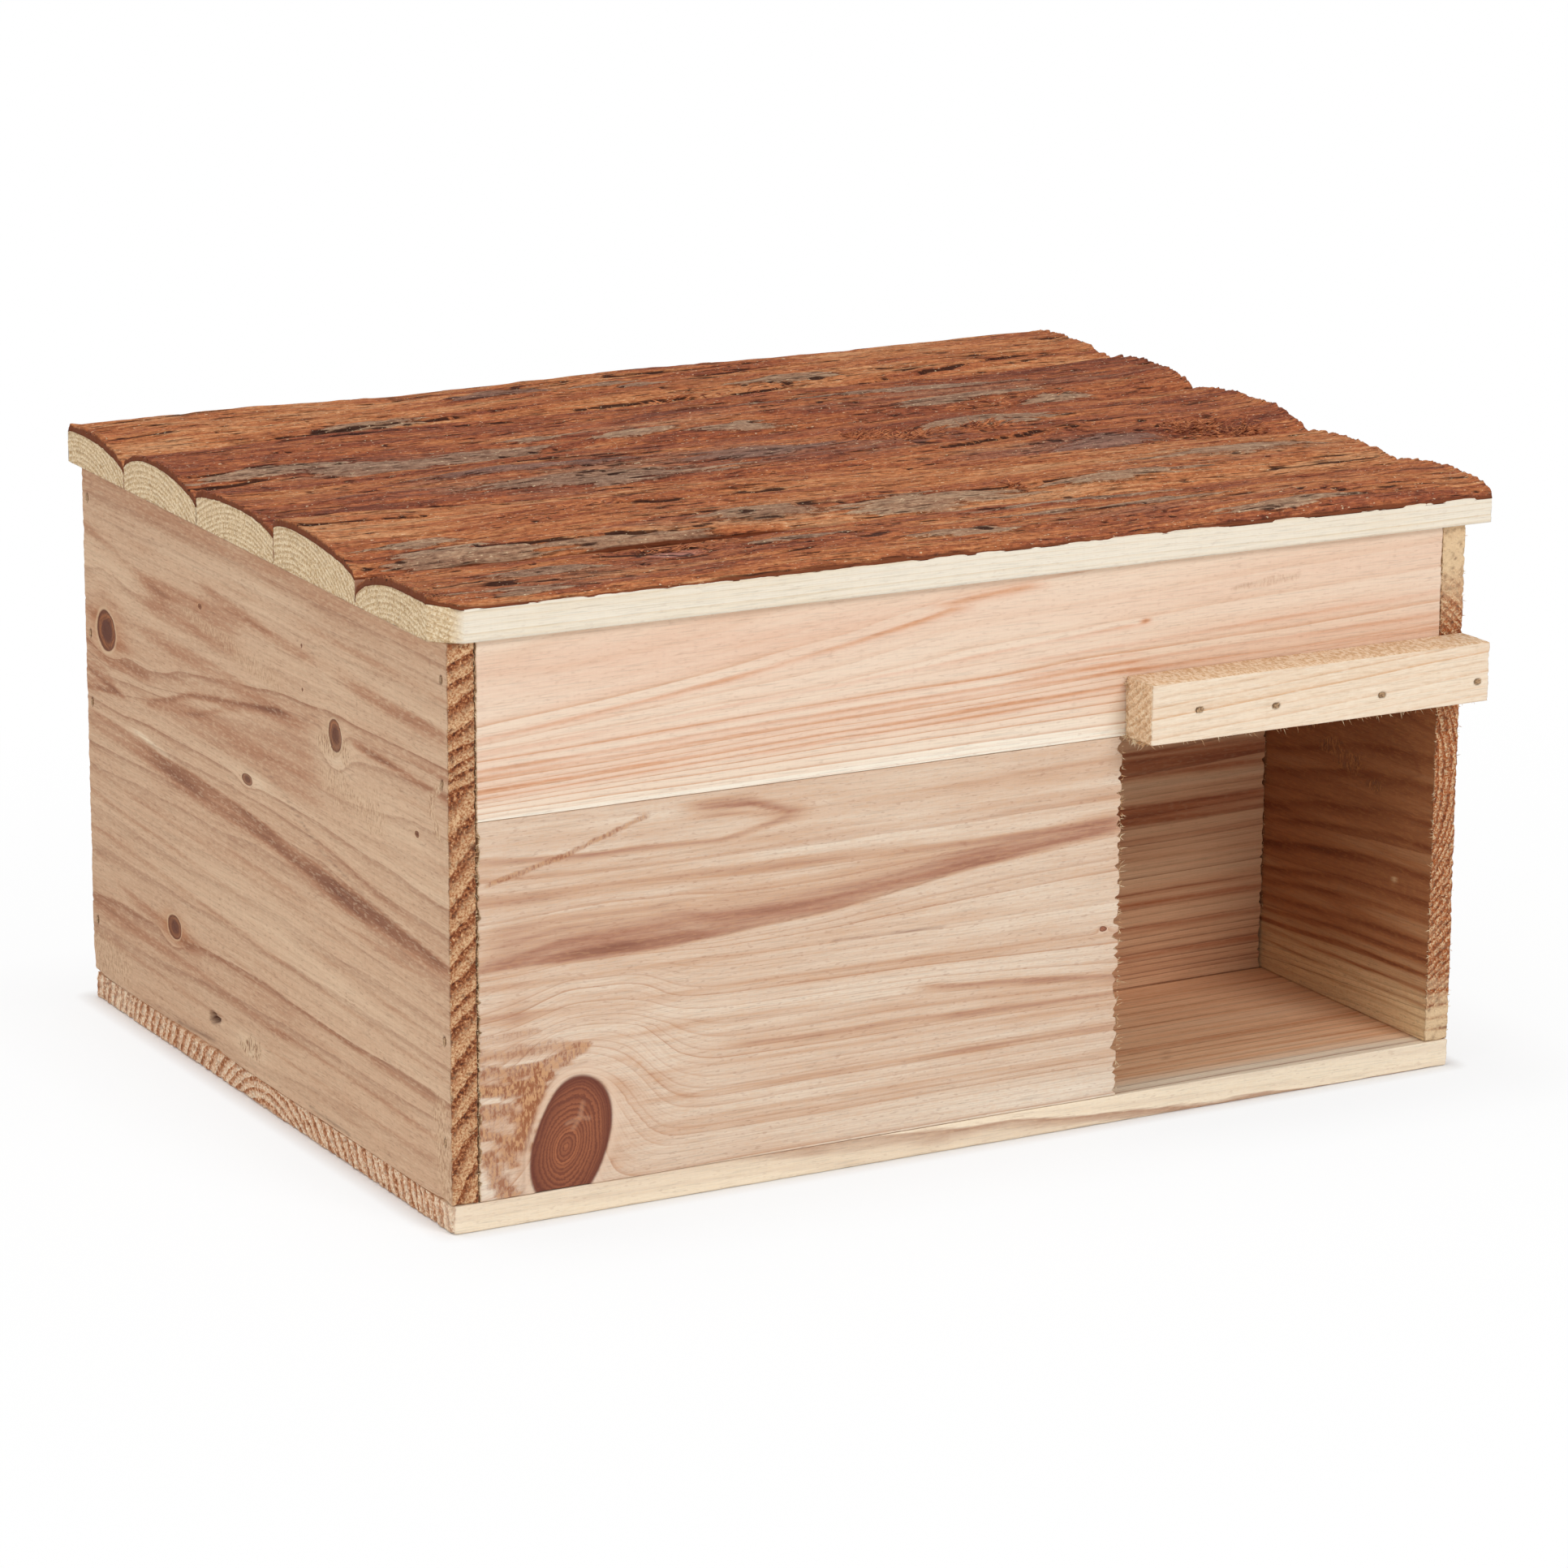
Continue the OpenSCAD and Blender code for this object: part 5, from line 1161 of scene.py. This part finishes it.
def barkMaterial(name, look):
    # Air-dry conifer bark: matt, stringy, rust-brown where it was peeled and grey-beige where old flakes stay
    material, tree, shader = newMaterial(name)
    flow = add(tree, "ShaderNodeAttribute", out="Vector", attribute_name="flow")
    patterns = {"strands": (9, 0.45, 4, 0.65), "bundles": (42, 2.6, 4, 0.6), "streaks": (34, 1.2, 3, 0.6),
                "slits": (16, 0.8, 2, 0.55), "crumbs": (2.6, 1.0, 3, 0.7), "specks": (1.6, 0.5, 1, 0.5)}
    texture = stretched(tree, flow, 0, patterns)
    field = meshFields(tree, ("warm", "plate", "worn", "tint", "crackShade", "ringed", "rim"))

    # peeled bark: bundles and streaks shift it between red-brown and orange, strands shade it and their
    # raised tops get a painted highlight
    warm = times(tree, texture["bundles"], 1.0, field["warm"])
    warm = times(tree, texture["streaks"], 1.1, warm)
    warm = times(tree, texture["crumbs"], 0.9, warm)
    warm = calc(tree, "SUBTRACT", warm, 1.5, clamp=True)
    colour = ramp(tree, warm, look["warm"])
    shade = ramp(tree, texture["crumbs"], [(0.34, 0.62), (0.46, 0.95), (0.6, 1.06)])
    colour = mix(tree, 0.8, colour, shade, "MULTIPLY")
    strandShade = ramp(tree, texture["strands"], [(0.3, 0.3), (0.44, 0.8), (0.58, 1.0)])
    colour = mix(tree, 0.8, colour, strandShade, "MULTIPLY")
    strandHighlight = ramp(tree, texture["strands"], [(0.58, 0.0), (0.76, 0.6)])
    colour = mix(tree, strandHighlight, colour, look["strandHighlight"])

    # old flakes: grey-beige or purple-grey, streaky and cracked into crumbs
    grain = calc(tree, "ADD", texture["crumbs"], texture["streaks"])
    grain = times(tree, grain, 0.5)
    beige = ramp(tree, grain, [(0.36, look["flakeDark"]), (0.5, look["flake"]), (0.64, look["flakePale"])])
    purple = ramp(tree, grain, [(0.36, look["purpleDark"]), (0.64, look["purple"])])
    old = mix(tree, field["tint"], beige, purple)
    old = mix(tree, 0.8, old, strandShade, "MULTIPLY")
    # the flake field is 0.5 on the outline, which crumbs and streaks break up and which casts a thin shadow
    edge = times(tree, texture["crumbs"], 0.4, field["plate"])
    edge = times(tree, texture["streaks"], 0.7, edge)
    edge = times(tree, edge, 0.5)
    patch = ramp(tree, edge, [(0.5, 0.0), (0.56, look["flakeShare"])])
    shadow = ramp(tree, edge, [(0.46, 0.0), (0.505, 0.7), (0.53, 0.0)])
    wornShare = ramp(tree, texture["bundles"], [(0.4, 0.1), (0.55, 1.0)])
    wornShare = times(tree, field["worn"], wornShare)
    patch = calc(tree, "MAXIMUM", patch, wornShare)
    colour = mix(tree, patch, colour, old)
    colour = mix(tree, shadow, colour, look["hollowShade"])
    scar = times(tree, field["ringed"], 0.6)
    colour = mix(tree, scar, colour, look["knot"])

    # hollows and slits get painted shade, pale sawdust lies on everything, and the broken rim is darkest
    dark = times(tree, texture["streaks"], 0.5, field["crackShade"])
    dark = ramp(tree, dark, [(0.45, 0.0), (0.75, 0.94)])
    colour = mix(tree, dark, colour, look["hollowShade"])
    dark = ramp(tree, texture["slits"], [(0.3, 0.9), (0.39, 0.0)])
    colour = mix(tree, dark, colour, look["hollowShade"])
    dust = ramp(tree, texture["specks"], [(0.68, 0.0), (0.76, 0.8)])
    colour = mix(tree, dust, colour, look["dust"])
    colour = mix(tree, field["rim"], colour, look["rim"])
    relief = times(tree, texture["crumbs"], 0.5, texture["strands"])
    relief = times(tree, texture["streaks"], 0.9, relief)
    relief = times(tree, dark, -0.8, relief)
    dressShader(tree, shader, colour, relief, look)
    return material


barkLook = {
    "warm": [(0.0, "#7e4230"), (0.3, "#a4593b"), (0.55, "#c37347"), (0.78, "#d58a58"), (1.0, "#e3a474")],
    "strandHighlight": "#eab080", "flakeDark": "#82634f", "flake": "#b19176", "flakePale": "#d2b89a",
    "purpleDark": "#66473e", "purple": "#9d7a6e", "flakeShare": 0.8, "knot": "#b07f76", "hollowShade": "#35180e",
    "dust": "#f0d8b2", "rim": "#84472a", "relief": 0.8, "dullness": 0.88, "shine": 0.2, "stepAlong": 1.25,
    "stepAcross": 0.68, "layers": (0, 0.35, 0.7, 1), "seed": 60,
    # how deep the bark's underside sinks into the wood, how far in from its edges it thins out and gets
    # painted shade along the joint, and from how far before its ends it curls up and is broken
    "sunk": 0.15, "thinned": 2.2, "jointShadeReach": 1.4, "curled": 5.0, "broken": 3.0
}
slabWood = {
    **plainWood, "across": 1, "body": "roof", "slot": "pale_sapwood", "rings": (1.5, 2.3), "seed": 90,
    "stepAlong": 4.0, "stepAcross": 1.2, "layers": 12, "wobble": 0.15,
    "endRough": 0.35, "jointSideShade": 0.85,
    "tones": [(0.0, "#f8f2e6"), (0.5, "#f2e8d6"), (0.8, "#e6cfa8"), (1.0, "#cba376")], "lateWood": "#d9b889",
    "fuzz": 0.12, "pores": 0.12, "cloud": 0.3, "ringShare": 0.7, "endDark": "#b28a5c", "endMid": "#dabd92",
    "endPale": "#f4e2c2", "endTone": 0.25, "endHollowShade": "#9a744a", "markAndShadeColour": "#9c5f3a"
}
barkBrown = barkMaterial("FibrousConiferBark", barkLook)
slabMaterial = woodMaterial("SawnSapwoodSlab", slabWood)


def onSlab(i, lines):
    # lattice over a slab in shares of its length, width and height, with each point's x and d
    points, quads = boxShell(lines)
    u, v, w = points.T
    rear, front = slabSides(i, u)
    return quads, u, v, w, roofLeft + u * roofLength, rear + (front - rear) * v


for i in range(5):
    rear, front = slabSides(i, np.array([0.5]))
    width = float(front[0] - rear[0])
    # wood: flat underneath, rounded on top, year rings that follow the log's outside
    lines = [gridLine(0, roofLength, slabWood["stepAlong"]) / roofLength,
             gridLine(0, width, slabWood["stepAcross"]) / width, np.linspace(0, 1, slabWood["layers"])]
    quads, u, v, w, x, d = onSlab(i, lines)
    h = w * woodHeight(i, u, d)
    seed = slabWood["seed"] + i
    endShare = ((u == 0) | (u == 1)).astype(float)
    cutFace = (i == 4) & (v == 1) & (x < roofLeft + roofLook["cornerCut"])
    tear = rough((d, h), (1.4, 1.4), seed)
    x = x + np.sign(0.5 - u) * slabWood["endRough"] * endShare * (1 + tear)
    d = d - np.where((v == 1) & (i == 4), 0.12 * (1 + noise((x, h), (18, 1.4), seed + 1)), 0)
    rear, front = slabSides(i, np.array([0.0]))
    crest = float(rear[0] + (front[0] - rear[0]) * roofLook["left"][i][2])
    look = {**slabWood, "pith": (crest, -roofLook["pithDepth"] - roofLook["pithStep"] * (i % 3)),
            "seed": seed}
    fields = treeFields(np.stack([x, d, h], axis=1), look, 2, np.maximum(endShare, 0.9 * cutFace))
    # painted shade in the pits of the slab's sawn ends
    fields["hollowShade"] = 0.5 * endShare * ease(tear, 0.1, 0.9)
    # the sides that meet the next slab get painted shade from the joint between them
    meets = ((v == 0) & (i > 0)) | ((v == 1) & (i < 4))
    fields["markAndShade"] = slabWood["jointSideShade"] * meets * (1 - endShare)
    fields["tone"] = fields["tone"] + 0.5 * cutFace
    makePiece(f"roof_slab_{i + 1}_wood", fromRoof(x, d, h), quads, slabMaterial, "roof",
              [f"roof_slab_{i + 1}"], fields)

    # bark: its underside sinks a hair into the wood, its ends and edges are broken
    lines = [gridLine(0, roofLength, barkLook["stepAlong"], ends=(0.5, 1.0)) / roofLength,
             gridLine(0, width, barkLook["stepAcross"], ends=(0.4,)) / width, np.array(barkLook["layers"])]
    quads, u, v, w, x, d = onSlab(i, lines)
    height, fields = barkSurface(i, u, x, d)
    atEdge = np.minimum(v, 1 - v) * width
    thinned = (0.35 + 0.25 * noise((x, d), (9, 9), seed + 2)) * ease(atEdge, barkLook["thinned"], 0.0)
    height = height * (1 - thinned)
    # painted shade along the joint between slabs, near the bark's edges
    jointShade = ease(atEdge, barkLook["jointShadeReach"], 0.1) * (0.24 + 0.3 * noise((x, d), (18, 1.5), seed + 6))
    fields["crackShade"] = np.maximum(fields["crackShade"], jointShade)
    # its ends curl up a little
    nearEnd = np.minimum(x - roofLeft, roofRight - x)
    curl = (0.5 + 0.4 * noise((x, d), (3, 3), seed + 8)) * ease(nearEnd, barkLook["curled"], 0.0)
    height = height + curl
    base = woodHeight(i, u, d)
    h = base - barkLook["sunk"] + w * (height + barkLook["sunk"])
    broken = (0.35 + 0.7 * rough((d, x), (2.4, 30), seed + 3)) * (0.4 + 0.6 * w)
    x = x + np.sign(0.5 - u) * np.clip(broken, 0, 1.4) * ease(nearEnd, barkLook["broken"], 0.0)
    if i == 4:
        d = d - (v == 1) * np.clip(0.5 + 0.6 * rough((x, 0 * x), (6, 6), seed + 4), 0, 1.2) * (0.3 + 0.7 * w)
    if i == 0:
        d = d + (v == 0) * np.clip(0.6 + 0.6 * rough((x, 0 * x), (8, 8), seed + 5), 0, 1.6)
    onRim = (u == 0) | (u == 1) | (v == 0) | (v == 1)
    fields["rim"] = (onRim & (w < 0.9)).astype(float)
    fields["flow"][:, 2] = w * height / 1000
    shape = fromRoof(x, d, h)
    shape[:, 2] = np.minimum(shape[:, 2], cadBox[1][2] * 1000 - 0.05)
    made = makePiece(f"roof_bark_{i + 1}_layer", shape, quads, barkBrown, "roof",
                     [f"roof_bark_{i + 1}"], fields)
    print("bark", made.name, len(made.data.polygons), "faces")


def inLid(points):
    # a cleat is made level in the lid's frame and then tilted with the lid
    return fromRoof(points[:, 0], -roofLook["pinOff"] - points[:, 1], points[:, 2] - roofLook["lift"])


for side, node in ((-1, "roof_cleat_left"), (1, "roof_cleat_right")):
    cleat = {**cleatWood, "node": node, "seed": cleatWood["seed"] + side, "turn": inLid,
             "material": "PlanedFirCleat"}
    low, high = [np.array([side * cleat["apart"] + end * cleat["half"], y, z])
                 for end, y, z in zip((-1, 1), cleat["reach"], cleat["height"])]
    makeBoard(cleat, (low, high))


# loose fibres: sawn edges keep a fringe of them and the bark frays where it was torn

# size of the specks in millimetres and how dull they are
fibreLook = {"speck": 3.0, "dullness": 0.8}


def fibreMaterial(name, pale, dark):
    # matt dry fibres in specks of two tones, straw from the boards or brown from the bark
    material, tree, shader = newMaterial(name)
    place = add(tree, "ShaderNodeTexCoord", out="Object")
    speck = add(tree, "ShaderNodeTexNoise", {"Vector": place, "Scale": 1000 / fibreLook["speck"],
                                             "Detail": 1.0})
    colour = ramp(tree, speck, [(0.35, dark), (0.6, pale)])
    tree.links.new(colour, shader.inputs["Base Color"])
    shader.inputs["Roughness"].default_value = fibreLook["dullness"]
    return material


def fringe(start, end, count, heading, length, width, seed, spread=0.6):
    # fibres at random places on the line from start to end, all heading more or less the same way
    random = np.random.default_rng(seed)
    places = np.array(start) + np.outer(random.random(count), np.subtract(end, start))
    heads = np.array(heading, float) + random.normal(0, spread, (count, 3))
    lengths = length * random.uniform(0.3, 1.0, count) ** 2 * random.uniform(0.7, 1.5, count)
    places = places + random.normal(0, 0.15, (count, 3))
    return places, heads, lengths, width * random.uniform(0.6, 1.2, count)


def makeFringe(name, rows, material, body):
    places, heads, lengths, widths = [np.concatenate(part) for part in zip(*rows)]
    points, faces = spikes(places, heads, lengths, widths, len(places))
    return makePiece(name, points, faces, material, body)


straw = fibreMaterial("StrawFibre", "#f6e2bc", "#d7a878")
# start and end of the line, how many, the way they point, length, width, seed and how much they spread
sawnEdges = [
    ((57.6, -154.8, 12), (57.6, -154.8, 139), 150, (1, -0.15, 0), 3.0, 0.16, 1),
    ((57.6, -145, 12), (57.6, -145, 139), 60, (1, 0.3, 0), 2.4, 0.16, 2),
    ((59, -170.8, 140.2), (199, -170.8, 140.2), 110, (0.7, 0.1, -1), 3.2, 0.12, 3, 0.35),
    ((58.3, -171, 140.3), (58.3, -156, 140.3), 60, (-0.8, 0.1, -0.7), 3.0, 0.16, 4, 0.4),
    ((58.2, -157, 141), (58.2, -156, 161), 50, (-1, 0.3, 0.1), 1.8, 0.15, 5, 0.4),
    ((-199.6, -154.4, 12), (-199.6, -154.4, 200), 110, (-0.5, -0.6, 0.1), 1.2, 0.14, 6),
    ((-190.2, -154.6, 12), (-190.2, -154.6, 200), 190, (0.8, -0.8, 0), 1.7, 0.15, 7),
    ((190.3, -154.8, 12), (190.3, -154.8, 139), 150, (-1, -0.3, 0.1), 2.2, 0.16, 8),
    ((190.3, -154.8, 162), (190.3, -154.8, 199), 40, (-1, -0.3, 0.1), 1.6, 0.15, 11),
    ((199.6, -154.6, 12), (199.6, -154.6, 199), 90, (0.5, -0.6, 0), 1.4, 0.15, 9),
    ((189.6, -47.4, 12), (189.6, -47.4, 180), 90, (-0.6, -1, 0), 1.8, 0.15, 10)
]
makeFringe("sawn_fuzz_house", [fringe(*edge) for edge in sawnEdges], straw, "house")

# bark fibres: slab, x and d of a torn place, half length and half width, how many, and the way they point
frays = [
    (2, 46, 149, 9, 5, 150, (0.7, 0.3)), (2, 60, 160, 11, 6, 150, (0.6, 0.6)),
    (2, 92, 158, 9, 4, 90, (0.8, 0.3)), (2, 166, 182, 12, 6, 200, (0.5, 0.8)),
    (2, 182, 190, 10, 7, 180, (0.3, 1)), (3, -100, 216, 16, 2, 60, (1, 0.2)),
    (3, 54, 240, 3, 5, 50, (0.4, 0.9)), (1, 120, 112, 30, 3, 60, (1, 0.2)), (0, 20, 52, 50, 3, 90, (1, 0.3)),
    (4, -103, 275, 9, 2, 60, (0.9, 0.5))
]
rows = []
for i, middleX, middleD, halfX, halfD, count, (alongX, alongD) in frays:
    random = np.random.default_rng(int(abs(middleX)) + count)
    x = middleX + halfX * np.clip(random.normal(0, 0.5, count), -1, 1)
    d = middleD + halfD * np.clip(random.normal(0, 0.5, count), -1, 1)
    u = (x - roofLeft) / roofLength
    place = fromRoof(x, d, woodHeight(i, u, d) + barkSurface(i, u, x, d)[0] - 0.2)
    sign = np.where(random.random(count) < 0.75, 1, -1)
    headX = sign * alongX + random.normal(0, 0.3, count)
    headY = -sign * alongD + random.normal(0, 0.3, count)
    heads = np.stack([headX, headY, random.uniform(0.05, 0.4, count)], axis=1)
    rows.append((place, heads, random.uniform(2.0, 6.5, count), random.uniform(0.16, 0.4, count)))
barkStraw = fibreMaterial("BarkFibre", "#d98a58", "#7c3b22")
makeFringe("torn_bark_fibres", rows, barkStraw, "roof")
print("fibres made")


# metal: zinc-plated hinges and screws, bare steel brads gone dull

def metalMaterial(name, look):
    # plated steel has a blotchy grey sheen, the brads are bare wire gone dull and brownish
    material, tree, shader = newMaterial(name)
    place = add(tree, "ShaderNodeTexCoord", out="Object")
    blotch = add(tree, "ShaderNodeTexNoise", {"Vector": place, "Scale": 1000 / look["blotch"], "Detail": 4.0})
    colour = ramp(tree, blotch, [(0.35, look["dark"]), (0.65, look["pale"])])
    tree.links.new(colour, shader.inputs["Base Color"])
    gloss = add(tree, "ShaderNodeMapRange", {"Value": blotch, "To Min": look["gloss"][0],
                                             "To Max": look["gloss"][1]})
    tree.links.new(gloss, shader.inputs["Roughness"])
    scratch = add(tree, "ShaderNodeTexNoise", {"Vector": place, "Scale": 1000 / look["scratch"],
                                               "Detail": 2.0})
    bump = add(tree, "ShaderNodeBump", {"Strength": 0.3, "Distance": look["depth"] / 1000, "Height": scratch})
    tree.links.new(bump, shader.inputs["Normal"])
    shader.inputs["Metallic"].default_value = look["metal"]
    return material


zincLook = {
    "dark": "#9b9c98", "pale": "#d2d2cc", "gloss": (0.28, 0.5), "metal": 1.0, "blotch": 2.5, "scratch": 0.4,
    "depth": 0.05
}
wireLook = {
    **zincLook, "dark": "#7c5c40", "pale": "#c9a67e", "gloss": (0.5, 0.75), "metal": 0.35, "blotch": 0.7
}
zinc = metalMaterial("ZincPlatedSteel", zincLook)
dullSteel = metalMaterial("DullSteelWire", wireLook)
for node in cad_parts:
    metal = zinc if node.startswith("hinge") else dullSteel if node.endswith("brads") else None
    if metal:
        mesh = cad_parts[node].data
        mesh.materials.clear()
        mesh.materials.append(metal)
print("metal set")
